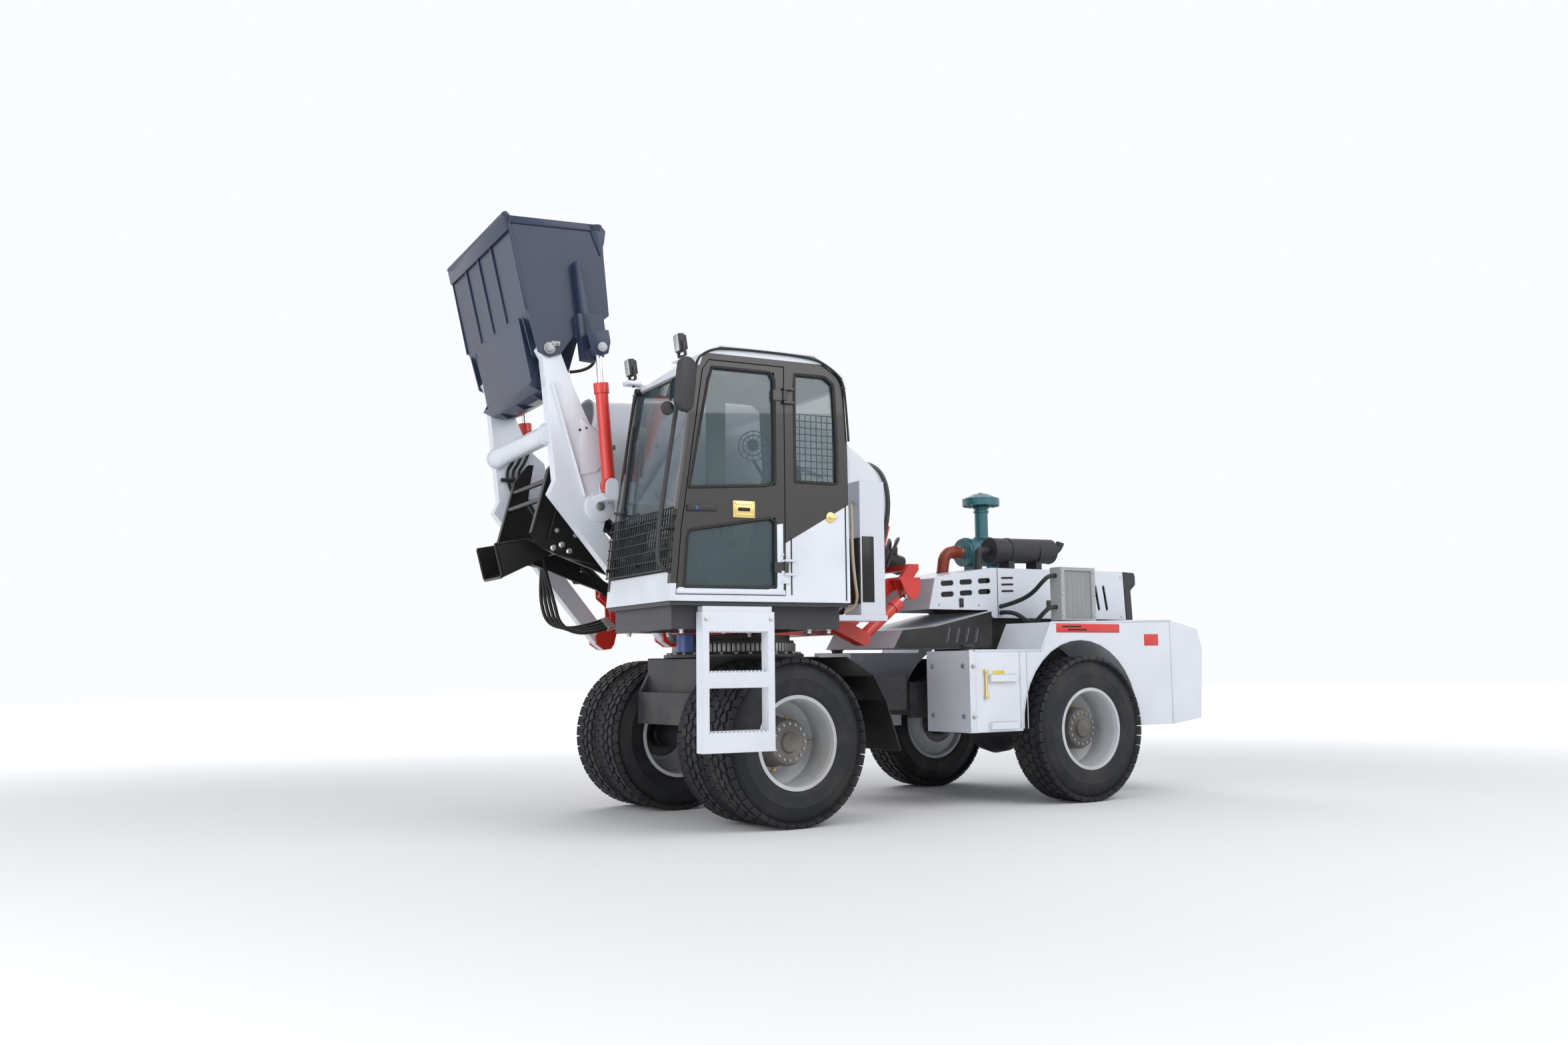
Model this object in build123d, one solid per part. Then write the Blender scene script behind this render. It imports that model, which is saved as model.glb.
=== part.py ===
from build123d import *
import math
import os

# Self-loading concrete mixer, in millimetres. Forward is -X, the machine's left is -Y, +Z is up.
# Layout coordinates start on the ground under the front axle's centre. The last lines move
# every piece so that the origin is the middle of the footprint.

WHEELBASE = 2684
TYRE_RADIUS = 542.5
TYRE_WIDTH = 300
RIM_RADIUS = 288
INNER_TYRE_Y = 593
OUTER_TYRE_Y = 920
REAR_TYRE_Y = 900
RAIL_OUTER_Y = 400
FRONT_END_X = -380

SLEW_X = 180
SLEW_AT_REST = -6.2
DECK_TOP_Z = 1120
RING_TOP_Z = 1215
SLEW_MOTOR_AT = (-330, -310)
STEER_X = 1150
TANK_SIDE_Y = 950
TANK_FRONT_X = 1573
TAIL_X = 4083
HOOD_HALF = 360

# The boom, bucket, drum and chute share one centre line, right of the slew centre
CENTRE_Y = 585
ARM_OFFSET = 665
ARM_THICK = 100
TILT_OFFSET = 855
LIFT_OFFSET = 550
FRAME_OFFSET = 450
DRUM_CYLINDER_OFFSET = 985
CHEEK_OFFSET = 375
TROUGH_HALF = 225

# Pivots as (x, z)
ARM_FOOT = (-360, 1245)
LIFT_BASE = (-290, 1560)
LIFT_EYE = (-885, 2123)
TILT_BASE = (-870, 2250)
TILT_EYE = (-950, 3174)
BUCKET_PIN = (-1254, 3178)
GATE_PIN = (-1190, 3190)
GATE_RADIUS = 277
GATE_PIN_RADIUS = 14
FUNNEL_HALF = 540
FRAME_PIN = (-420, 1600)
DRUM_BASE = (998, 1225)
DRUM_EYE = (1420, 1565)
CHUTE_PIN = (-1050, 1840)
CHUTE_PIN_RADIUS = 14

# The drum turns about a line that rises forwards; SEAM is where shell and rear head meet
DRUM_SEAM = (1400, 2010)
DRUM_TILT = 16.5
SEAM_RADIUS = 660
DRUM_RADIUS = 790
MOUTH_RADIUS = 335
MOUTH_AT = 2320
SHELL = 12

CAB_LEFT_Y = -1400
CAB_RIGHT_Y = -345
WALL = 45
SEAM_GAP = 6
FLOOR_TOP = 1471
CAB_DOOR_HINGE_X = -136
DOOR_PIN_AT = (-133, -1414)
DOOR_PIN_RADIUS = 8
DOOR_HINGE_HEIGHTS = (1640, 2720)
PIN = 25


def outline(points, near_y, far_y):
    """A flat XZ outline, given as (x, z) points, thick from near_y to far_y."""
    face = Plane.XZ.offset(-far_y) * Polygon(*points, align=None)
    return extrude(face, far_y - near_y, dir=(0, -1, 0))


def hull(*shapes):
    """The flat face stretched round some XY outlines."""
    return make_hull([edge for shape in shapes for edge in shape.edges()])


def box(x, y, z):
    """A box from three (low, high) pairs."""
    return Pos((x[0] + x[1]) / 2, (y[0] + y[1]) / 2, (z[0] + z[1]) / 2) * Box(x[1] - x[0], y[1] - y[0], z[1] - z[0])


def bar(start, end, radius, bore=0):
    """A round bar or tube between two points."""
    a, b = Vector(*start), Vector(*end)
    plane = Plane(origin=a, z_dir=b - a)
    section = plane * Circle(radius)
    if bore:
        section -= plane * Circle(bore)
    return extrude(section, (b - a).length)


def across(pivot, near_y, far_y, radius, bore=0):
    """A round bar along Y at an (x, z) pivot."""
    return bar((pivot[0], near_y, pivot[1]), (pivot[0], far_y, pivot[1]), radius, bore)


def lathe(profile, turned=360):
    """A ring about the Y axis from (y, radius) points."""
    face = Plane.XY * Polygon(*[(r, y) for y, r in profile], align=None)
    return revolve(face, Axis.Y, turned)


def toward(start, end, distance):
    """The (x, z) point at a distance from start on the way to end."""
    length = math.dist(start, end)
    share = distance / length
    return (start[0] + (end[0] - start[0]) * share, start[1] + (end[1] - start[1]) * share)


def span(offset, half, side):
    """Low and high y of a slice at an offset left (-1) or right (1) of the boom's centre line."""
    middle = CENTRE_Y + side * offset
    return middle - half, middle + half


def strap(start, end, radius, near_y, far_y, bore=0):
    """A flat link with round ends between two (x, z) pivots."""
    face = hull(Pos(*start) * Circle(radius), Pos(*end) * Circle(radius))
    link = extrude(Plane.XZ.offset(-far_y) * face, far_y - near_y, dir=(0, -1, 0))
    if bore:
        for p in (start, end):
            link -= across(p, near_y - 1, far_y + 1, bore)
    return link


# Running gear

def tyre(y):
    half = TYRE_WIDTH / 2
    profile = [
        (-half + 22, 292), (-half + 6, 330), (-half, 410), (-half + 8, 470), (-half + 20, 515), (-half + 45, 538),
        (-half + 70, TYRE_RADIUS), (half - 70, TYRE_RADIUS), (half - 45, 538), (half - 20, 515), (half - 8, 470),
        (half, 410), (half - 6, 330), (half - 22, 292),
    ]
    return Pos(0, y, 0) * lathe(profile)


def rim(y, disc_y):
    half = TYRE_WIDTH / 2
    barrel = lathe([
        (-half + 8, RIM_RADIUS + 18), (-half + 8, RIM_RADIUS - 6), (-half + 40, RIM_RADIUS - 14),
        (half - 40, RIM_RADIUS - 14), (half - 8, RIM_RADIUS - 6), (half - 8, RIM_RADIUS + 18),
        (half - 16, RIM_RADIUS + 18), (half - 22, RIM_RADIUS), (-half + 22, RIM_RADIUS), (-half + 16, RIM_RADIUS + 18),
    ])
    toward_disc = 1 if disc_y > y else -1
    edge = disc_y - toward_disc * 7
    disc = lathe([(edge, 110), (edge, 190), (y + toward_disc * 90, RIM_RADIUS - 10),
                  (y + toward_disc * 104, RIM_RADIUS - 10), (disc_y + toward_disc * 7, 196), (disc_y + toward_disc * 7, 110)])
    return Pos(0, y, 0) * barrel + disc


def hub(inner_y, outer_y):
    """A planetary hub: drum at the disc, bolted cover, end cap."""
    way = 1 if outer_y > inner_y else -1
    return lathe([
        (inner_y, 0), (inner_y, 165), (inner_y + way * 40, 165), (inner_y + way * 60, 158),
        (outer_y - way * 40, 152), (outer_y - way * 18, 140), (outer_y - way * 18, 70), (outer_y, 60), (outer_y, 0),
    ])


def wheel_nodes(name, axle_x, side, tracks):
    """Tyres and rims of one wheel; two tracks make a twin wheel with its discs back to back."""
    at = Pos(axle_x, 0, TYRE_RADIUS)
    disc = side * (tracks[-1] - 160)
    tyres = Compound([tyre(side * track) for track in tracks])
    rims = rim(side * tracks[-1], disc)
    if len(tracks) == 2:
        rims += rim(side * tracks[0], side * (tracks[0] + 160))
        disc = side * (tracks[0] + 158)
    rims += hub(disc - side * 4, side * (tracks[-1] + 60))
    return {f"{name}_tyres": at * tyres, f"{name}_rims": at * rims}


def axle(x, hub_y):
    """A drive axle: tapered beam, round differential case, flanges that end short of the hubs."""
    beam = lathe([
        (-hub_y, 0), (-hub_y, 100), (-hub_y + 60, 100), (-hub_y + 70, 82), (-260, 92), (-190, 150), (-110, 205),
        (0, 225), (110, 205), (190, 150), (260, 92), (hub_y - 70, 82), (hub_y - 60, 100), (hub_y, 100), (hub_y, 0),
    ])
    nose = bar((0, 0, 0), (330, 0, 40), 95)
    pads = [box((-70, 70), (side * 365 - 35, side * 365 + 35), (60, 96)) for side in (-1, 1)]
    body = beam + nose
    for pad in pads:
        body += pad
    return Pos(x, 0, TYRE_RADIUS) * body


def front_frame():
    rails = None
    for side in (-1, 1):
        near = side * (RAIL_OUTER_Y - 20)
        rail = outline([(FRONT_END_X, 640), (FRONT_END_X, 860), (-300, 1000), (-300, DECK_TOP_Z - 22),
                        (640, DECK_TOP_Z - 22), (760, 1000), (760, 640)], near - 20, near + 20)
        rails = rail if rails is None else rails + rail
    frame = rails
    for x, low, high in ((FRONT_END_X, 640, 860), (-310, 700, 1090), (290, 760, 1090), (740, 640, 1000)):
        frame += box((x, x + 20), (-RAIL_OUTER_Y + 30, RAIL_OUTER_Y - 30), (low, high))
    frame += Pos(SLEW_X, 0, DECK_TOP_Z - 11) * Cylinder(500, 22)
    for low, high in ((640, 690), (960, 1010)):
        ear = Plane.XY.offset(low) * hull(Pos(755, 0) * Rectangle(20, 2 * RAIL_OUTER_Y), Pos(STEER_X, 0) * Circle(120))
        frame += extrude(ear, high - low)
    frame += Pos(STEER_X, 0, 825) * Cylinder(50, 400)
    frame += box((745, 760), (-250, 250), (690, 960))
    return frame


def front_mudguard(side):
    """A curved sheet behind the twin wheel, on two arms from the rail."""
    arc = [(380, 1085), (600, 965), (700, 800), (760, 620), (815, 465)]
    sheet = None
    low, high = (side * 1090, side * 440) if side < 0 else (440, 1090)
    for a, b in zip(arc, arc[1:]):
        piece = strap(a, b, 5, low, high)
        sheet = piece if sheet is None else sheet + piece
    arm = box((640, 700), (min(side * 450, side * RAIL_OUTER_Y), max(side * 450, side * RAIL_OUTER_Y)), (800, 860))
    return sheet + arm


def rear_frame():
    frame = None
    for side in (-1, 1):
        near = side * 340
        rail = box((1500, 4020), (near - 20, near + 20), (640, 900))
        frame = rail if frame is None else frame + rail
    for x in (1500, 2250, 3150, 3990):
        frame += box((x, x + 30), (-330, 330), (660, 880))
    nose = Plane.XY.offset(700) * hull(Pos(1505, 0) * Rectangle(20, 640), Pos(STEER_X, 0) * Circle(105))
    frame += extrude(nose, 250)
    frame -= Pos(STEER_X, 0, 825) * Cylinder(50.5, 300)
    frame += box((4020, 4060), (-460, 460), (600, 860))
    return frame


def side_tank(side):
    """The tank and fender over one rear wheel: low deck, raised middle, arch, tail box."""
    face = Polygon((TANK_FRONT_X, 545), (TANK_FRONT_X, 1131), (2267, 1131), (2380, 1341), (3700, 1369), (4030, 1298),
                   (TAIL_X, 1149), (4047, 584), (3721, 545), align=None)
    face -= Pos(WHEELBASE, 604) * Circle(608)
    face -= Pos(WHEELBASE, 545) * Rectangle(1216, 118)
    low, high = (-TANK_SIDE_Y, -470) if side < 0 else (470, TANK_SIDE_Y)
    tank = extrude(Plane.XZ.offset(-high) * face, high - low, dir=(0, -1, 0))
    for z in (930, 590):
        rung = box((1745, 2010), (side * TANK_SIDE_Y - 30, side * TANK_SIDE_Y + 30), (z - 25, z + 25))
        tank += rung
    for x in (1700, 3500):
        tank += box((x, x + 80), (min(side * 470, side * 362), max(side * 470, side * 362)), (700, 840))
    return tank


def deck_cover():
    """The folded cover between the tanks, ahead of the hood, with slanted slots in its sides."""
    cover = outline([(1300, 1156), (1385, 1290), (1700, 1318), (2270, 1440), (2270, 1156)], -430, 430)
    cover -= outline([(1312, 1150), (1391, 1282), (1700, 1310), (2262, 1430), (2262, 1150)], -422, 422)
    for index in range(4):
        x = 1810 + 95 * index
        slot = strap((x, 1215), (x + 22, 1300), 14, -440, 440)
        cover -= slot
    return cover


def engine_hood():
    """The hood: sloped front, pill slots in two rows, louvres, a dark rear cap."""
    outer = [(1700, 1452), (1762, 1690), (1790, 1702), (2336, 1785), (3830, 1795), (3855, 1392), (2354, 1392), (2290, 1452)]
    hood = outline(outer, -HOOD_HALF, HOOD_HALF)
    inner = [(1712, 1440), (1772, 1680), (1796, 1692), (2336, 1775), (3820, 1785), (3843, 1380), (2340, 1380), (2290, 1440)]
    hood -= outline(inner, -HOOD_HALF + 10, HOOD_HALF - 10)
    for row in range(2):
        for column in range(3):
            x = 1840 + 190 * column
            z = 1650 - 85 * row + 14 * column
            hood -= strap((x, z), (x + 90, z + 6), 20, -HOOD_HALF - 5, HOOD_HALF + 5)
    for index in range(3):
        hood -= strap((3440 + 95 * index, 1480), (3405 + 95 * index, 1660), 15, -HOOD_HALF - 5, HOOD_HALF + 5)
    hood -= bar((2318, -230, 1700), (2318, -230, 1850), 38)
    hood -= bar((2298, 180, 1700), (2298, 180, 1850), 56)
    return hood


def tail_cap():
    return outline([(3860, 1392), (3834, 1795), (3960, 1790), (3975, 1765), (3975, 1690), (3915, 1640), (3930, 1392)],
                   -HOOD_HALF - 6, HOOD_HALF + 6)


def engine():
    block = box((2290, 3140), (-290, 290), (905, 1600))
    radiator = box((3560, 3700), (-320, 320), (920, 1700))
    sills = box((2300, 3760), (-322, -290), (900, 960)) + box((2300, 3760), (290, 322), (900, 960))
    return block + radiator + sills


def muffler():
    at = -230
    body = bar((2440, at, 1935), (3110, at, 1950), 100)
    pipe = bar((2450, at, 1935), (2330, at, 1925), 32) + Pos(2330, at, 1925) * Sphere(32) + bar((2330, at, 1925), (2318, at, 1760), 32)
    feet = box((2600, 2660), (at - 60, at + 60), (1791, 1870)) + box((2900, 2960), (at - 60, at + 60), (1791, 1870))
    return body + pipe + feet


def air_cleaner():
    at = 180
    body = bar((2520, at, 1950), (2960, at, 1965), 115)
    stack = bar((2740, at, 1960), (2740, at, 2380), 55)
    cap = Pos(2740, at, 2380) * Cylinder(155, 60) + Pos(2740, at, 2430) * Cone(150, 60, 40)
    feet = box((2600, 2650), (at - 70, at + 70), (1791, 1870)) + box((2850, 2900), (at - 70, at + 70), (1791, 1870))
    return body + stack + cap + feet


def intake_hose():
    route = FilletPolyline((2517, 180, 1950), (2330, 180, 1950), (2300, 180, 1770), radius=95)
    section = Plane(origin=route @ 0, z_dir=route % 0) * Circle(48)
    return sweep(section, route)


def oil_cooler():
    """The cooler on the left fender: finned core between two tanks in a frame."""
    core = box((2600, 2890), (-880, -800), (1372, 1740))
    cooler = core + box((2560, 2600), (-895, -780), (1360, 1765)) + box((2890, 2930), (-895, -780), (1360, 1765))
    cooler += box((2560, 2930), (-895, -780), (1740, 1765)) + box((2560, 2930), (-895, -780), (1358, 1374))
    return cooler


# Platform

def platform():
    frame = None
    for side in (-1, 1):
        low, high = span(ARM_OFFSET, 81, side)
        beam = outline([(ARM_FOOT[0] - 5, 1172), (-430, 1215), (-435, 1270), (-400, 1340), (-390, 1380), (-330, 1430), (830, 1430),
                        (830, 1300), (-265, 1300), (-285, 1215), (-310, 1180)], low, high)
        beam -= box((-600, -200), (low + 25, high - 25), (1100, 1400))
        beam += across(ARM_FOOT, low, high, PIN + 10)
        frame = beam if frame is None else frame + beam
    near, far = span(ARM_OFFSET, 81, -1)[0], span(ARM_OFFSET, 81, 1)[1]
    for x in (-180, 380, 690):
        frame += box((x, x + 110), (near + 10, far - 10), (1300, 1340))
    frame += box((-220, 580), (-300, 480), (1250, 1310))
    frame += box((-410, -200), (-364, -250), (1255, 1275)) - bar((*SLEW_MOTOR_AT, 1200), (*SLEW_MOTOR_AT, 1300), 50)
    for side in (-1, 1):
        for offset in (LIFT_OFFSET - 52, LIFT_OFFSET + 52):
            low, high = span(offset, 8, side)
            frame += outline([(-350, 1400), (-360, 1560), (-330, 1610), (-250, 1610), (-190, 1560), (-120, 1330), (-180, 1330)],
                             low, high)
        low, high = span(LIFT_OFFSET, 54, side)
        frame += across(LIFT_BASE, low, high, PIN)
        for offset in (FRAME_OFFSET - 46, FRAME_OFFSET + 40):
            low, high = span(offset, 7, side)
            frame += outline([(-180, 1320), (-470, 1560), (-475, 1620), (-440, 1655), (-390, 1650), (-60, 1400), (-60, 1320)],
                             low, high)
        low, high = span(FRAME_OFFSET, 44, side)
        frame += across(FRAME_PIN, low, high, PIN)
        for offset in (DRUM_CYLINDER_OFFSET - 52, DRUM_CYLINDER_OFFSET + 52):
            low, high = span(offset, 8, side)
            frame += strap(DRUM_BASE, (750, 1340), 50, low, high)
        low, high = span(DRUM_CYLINDER_OFFSET, 58, side)
        frame += across(DRUM_BASE, low, high, PIN)
        inner, outer = sorted((CENTRE_Y + side * (ARM_OFFSET + 70), CENTRE_Y + side * (DRUM_CYLINDER_OFFSET + 60)))
        frame += box((700, 800), (inner, outer), (1300, 1380))
    return frame


def slew_ring():
    ring = Pos(SLEW_X, 0, (DECK_TOP_Z + RING_TOP_Z) / 2) * (Cylinder(430, RING_TOP_Z - DECK_TOP_Z - 2) - Cylinder(270, 200))
    hat = Pos(SLEW_X, 0, 1230) * (Cylinder(400, 38) - Cylinder(270, 60))
    return ring + hat


def cab_base():
    """The box frame under the cab, and the arms that tie it to the platform."""
    base = box((-860, 300), (-1305, -370), (1262, 1400)) - box((-780, 220), (-1225, -450), (1250, 1370))
    base += box((-905, 318), (-1385, -350), (1400, 1424))
    for x in (-200, 140):
        base += box((x, x + 120), (-370, -302), (1262, 1358))
    return base


def cab_outline():
    return [(-917, 1426), (-875, 1880), (-725, 2870), (-700, 2925), (-580, 2985), (80, 2985), (294, 2860), (320, 2460), (330, 1426)]


def door_outline(grow=0):
    return [(-868 - grow, 1470 - grow), (-832 - grow, 1860), (-690 - grow, 2840), (-650, 2900 + grow),
            (CAB_DOOR_HINGE_X + grow, 2900 + grow), (CAB_DOOR_HINGE_X + grow, 1470 - grow)]


def window_outlines():
    """Window holes in the cab's side walls, as (x, z) outlines."""
    return {
        "quarter": [(-60, 2180), (-60, 2865), (165, 2865), (225, 2820), (245, 2440), (245, 2180)],
        "right_front": [(-790, 2120), (-660, 2850), (-190, 2880), (-190, 2120)],
    }


def cab_shell():
    shell = outline(cab_outline(), CAB_LEFT_Y, CAB_RIGHT_Y)
    inner = [(-868, 1471), (-831, 1880), (-682, 2865), (-662, 2900), (-572, 2940), (70, 2940), (250, 2835), (275, 2460), (285, 1471)]
    shell -= outline(inner, CAB_LEFT_Y + WALL, CAB_RIGHT_Y - WALL)
    shell -= outline(door_outline(SEAM_GAP), CAB_LEFT_Y - 5, CAB_LEFT_Y + WALL + 5)
    windows = window_outlines()
    shell -= outline(windows["quarter"], CAB_LEFT_Y - 5, CAB_LEFT_Y + WALL + 5)
    for name in ("quarter", "right_front"):
        shell -= outline(windows[name], CAB_RIGHT_Y - WALL - 5, CAB_RIGHT_Y + 5)
    shell -= outline([(-1000, 1615), (-1000, 2845), (-670, 2845), (-862, 1615)], CAB_LEFT_Y + 75, CAB_RIGHT_Y - 75)
    shell -= outline([(200, 2020), (200, 2800), (400, 2800), (400, 2020)], CAB_LEFT_Y + 90, CAB_RIGHT_Y - 90)
    for z in DOOR_HINGE_HEIGHTS:
        shell += bar((*DOOR_PIN_AT, z - 50), (*DOOR_PIN_AT, z + 50), DOOR_PIN_RADIUS)
        for foot in (z - 50, z + 36):
            shell += box((DOOR_PIN_AT[0] - 12, DOOR_PIN_AT[0] + 60), (DOOR_PIN_AT[1] - 12, CAB_LEFT_Y - 5), (foot, foot + 14))
            shell += box((DOOR_PIN_AT[0] + 20, DOOR_PIN_AT[0] + 60), (CAB_LEFT_Y - 8, CAB_LEFT_Y + 2), (foot, foot + 14))
    return shell


def cab_glass():
    panes = [outline([(-884, 1617), (-718, 2843), (-710, 2843), (-876, 1617)], CAB_LEFT_Y + 77, CAB_RIGHT_Y - 77)]
    windows = window_outlines()
    panes.append(outline(windows["quarter"], CAB_LEFT_Y + 18, CAB_LEFT_Y + 24))
    for name in ("quarter", "right_front"):
        panes.append(outline(windows[name], CAB_RIGHT_Y - 24, CAB_RIGHT_Y - 18))
    panes.append(outline([(300, 2022), (284, 2798), (290, 2798), (306, 2022)], CAB_LEFT_Y + 92, CAB_RIGHT_Y - 92))
    return Compound(panes)


def door_windows():
    return [
        [(-785, 2110), (-640, 2860), (-200, 2860), (-200, 2150)],
        [(-820, 1510), (-795, 1850), (-200, 1950), (-200, 1510)],
    ]


def cab_door():
    door = outline(door_outline(), CAB_LEFT_Y, CAB_LEFT_Y + WALL)
    for window in door_windows():
        door -= outline(window, CAB_LEFT_Y - 5, CAB_LEFT_Y + WALL + 5)
    for z in DOOR_HINGE_HEIGHTS:
        door += bar((*DOOR_PIN_AT, z - 32), (*DOOR_PIN_AT, z + 32), 13)
        door += box((DOOR_PIN_AT[0] - 80, DOOR_PIN_AT[0]), (CAB_LEFT_Y - 8, CAB_LEFT_Y + 2), (z - 32, z + 32))
        door -= bar((*DOOR_PIN_AT, z - 40), (*DOOR_PIN_AT, z + 40), DOOR_PIN_RADIUS + 0.5)
    return door


def door_glass():
    return Compound([outline(window, CAB_LEFT_Y + 18, CAB_LEFT_Y + 24) for window in door_windows()])


def seat():
    middle = (CAB_LEFT_Y + CAB_RIGHT_Y) / 2
    base = box((-330, 60), (middle - 200, middle + 200), (FLOOR_TOP, 1640))
    cushion = box((-400, 90), (middle - 240, middle + 240), (1640, 1770))
    back = outline([(20, 1770), (90, 2360), (190, 2360), (130, 1770)], middle - 230, middle + 230)
    return base + cushion + back


def console():
    middle = (CAB_LEFT_Y + CAB_RIGHT_Y) / 2
    column = bar((-696, middle, 1500), (-600, middle, 2010), 45)
    wheel_plane = Plane(origin=(-590, middle, 2060), z_dir=(0.42, 0, 1))
    ring = extrude(wheel_plane * (Circle(200) - Circle(178)), 22)
    spokes = extrude(wheel_plane * (Rectangle(372, 30) + Rectangle(30, 372) + Circle(45)), 18)
    stem = bar((-600, middle, 2010), (-588, middle, 2066), 25)
    pod = box((-820, -700), (middle - 180, middle + 180), (FLOOR_TOP, 1760))
    side_pod = box((-420, -60), (CAB_RIGHT_Y - 200, CAB_RIGHT_Y - 70), (FLOOR_TOP, 1900))
    return column + ring + spokes + stem + pod + side_pod


def ladder():
    """The access ladder hung on the platform's left side, with two openings and three treads."""
    steps = box((-700, -215), (-1400, -1310), (520, 1365))
    for low, high in ((640, 905), (1000, 1245)):
        steps -= box((-655, -260), (-1410, -1300), (low, high))
    steps += box((-690, -225), (-1385, -1306), (1365, 1398))
    return steps


def service_column():
    """The box column behind the cab, with a dark panel beside it, on a bracket from the platform."""
    column = box((820, 1020), (-710, -490), (1380, 2320))
    foot = box((560, 1030), (-720, -480), (1340, 1380)) + box((560, 660), (-480, -161), (1310, 1380))
    return column + foot


def slew_motor():
    return bar((*SLEW_MOTOR_AT, 1135), (*SLEW_MOTOR_AT, 1255), 62) + bar((*SLEW_MOTOR_AT, 1255), (*SLEW_MOTOR_AT, 1350), 50)


# Boom, bucket and their cylinders

def arm(side):
    low, high = span(ARM_OFFSET, ARM_THICK / 2, side)
    leg = outline([(-300, 1260), (-300, 1215), (-360, 1170), (-420, 1215), (-1235, 2200), (-1195, 2290), (-1290, 3120),
                   (-1325, 3180), (-1290, 3235), (-1230, 3240), (-1170, 3170), (-1070, 2920), (-960, 2690),
                   (-850, 2600), (-820, 2500), (-870, 2410), (-790, 2340), (-770, 2230), (-830, 2080),
                   (-860, 1960)], low, high)
    leg -= across(ARM_FOOT, low - 1, high + 1, PIN + 10.5)
    leg -= across(BUCKET_PIN, low - 1, high + 1, PIN + 0.5)
    return leg


def boom():
    frame = arm(-1) + arm(1)
    frame += bar((-1217, CENTRE_Y - ARM_OFFSET, 2614), (-1217, CENTRE_Y + ARM_OFFSET, 2614), 68)
    for side in (-1, 1):
        inner, outer = sorted((CENTRE_Y + side * (ARM_OFFSET + 40), CENTRE_Y + side * (TILT_OFFSET + 66)))
        frame += outline([(-940, 2180), (-905, 2150), (-835, 2150), (-800, 2180), (-800, 2190), (-940, 2190)], inner, outer)
        for offset in (TILT_OFFSET - 58, TILT_OFFSET + 58):
            low, high = span(offset, 8, side)
            frame += strap((-870, 2195), TILT_BASE, 45, low, high)
        low, high = span(TILT_OFFSET, 60, side)
        frame += across(TILT_BASE, low, high, PIN)
        low, high = sorted((CENTRE_Y + side * (LIFT_OFFSET + 52), CENTRE_Y + side * (ARM_OFFSET - 40)))
        frame += across(LIFT_EYE, low, high, 60)
    return frame


def cylinder_pair(base, eye, offset, radius, barrel_share, rod_start):
    """Barrels and rods of two like cylinders between (x, z) pivots; eyes sit between lugs."""
    barrels, rods = [], []
    length = math.dist(base, eye)
    gland = barrel_share * length
    for side in (-1, 1):
        y = CENTRE_Y + side * offset
        start = toward(base, eye, radius * 0.6)
        end = toward(base, eye, gland)
        tube = bar((start[0], y, start[1]), (end[0], y, end[1]), radius, radius * 0.72)
        back = toward(base, eye, radius * 0.6 + 30)
        tube += bar((start[0], y, start[1]), (back[0], y, back[1]), radius)
        collar = toward(base, eye, gland - 70)
        tube += bar((collar[0], y, collar[1]), (end[0], y, end[1]), radius + 8, radius * 0.72)
        barrels.append(tube + across(base, y - 38, y + 38, 52) - across(base, y - 50, y + 50, PIN + 0.5))
        piston = toward(base, eye, rod_start)
        rod = bar((piston[0], y, piston[1]), (eye[0], y, eye[1]), radius * 0.5)
        rods.append(rod + across(eye, y - 38, y + 38, 50))
    return Compound(barrels), Compound(rods)


def bucket():
    """The loading bucket, mouth up as photographed, with a funnel under it between the arms."""
    low, high = CENTRE_Y - 735, CENTRE_Y + 735
    body = outline([(-1560, 4058), (-1412, 3415), (-1290, 3300), (-1050, 3290), (-914, 3377), (-829, 3447), (-870, 3860),
                    (-885, 4082)], low, high)
    inside = outline([(-1543, 4110), (-1394, 3422), (-1283, 3320), (-1057, 3310), (-926, 3393), (-850, 3457), (-890, 3860),
                      (-905, 4110)], low + 20, high - 20)
    funnel = outline([(-1410, 3410), (-1310, 2960), (-1080, 2960), (-980, 3330)], CENTRE_Y - FUNNEL_HALF, CENTRE_Y + FUNNEL_HALF)
    throat = outline([(-1392, 3440), (-1296, 2950), (-1094, 2950), (-1005, 3350)],
                     CENTRE_Y - FUNNEL_HALF + 12, CENTRE_Y + FUNNEL_HALF - 12)
    body = body + funnel - inside - throat
    body += outline([(-1575, 4045), (-1590, 4060), (-1560, 4085), (-1530, 4058)], low, high)
    for side in (-1, 1):
        for offset in (ARM_OFFSET - 70, ARM_OFFSET + 62):
            near, far = span(offset, 8, side)
            body += outline([(-1400, 3400), (-1330, 3150), (-1250, 3118), (-1170, 3150), (-1060, 3310)], near, far)
        near, far = span(ARM_OFFSET, 66, side)
        body += across(BUCKET_PIN, near, far, PIN)
        near, far = span(FUNNEL_HALF + 14, 18, side)
        body += across(GATE_PIN, near, far, GATE_PIN_RADIUS)
        near, far = sorted((CENTRE_Y + side * 730, CENTRE_Y + side * (TILT_OFFSET - 45)))
        body += outline([(-1080, 3420), (-1040, 3110), (-950, 3105), (-890, 3140), (-880, 3300), (-900, 3440)], near, far)
    return body


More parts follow.
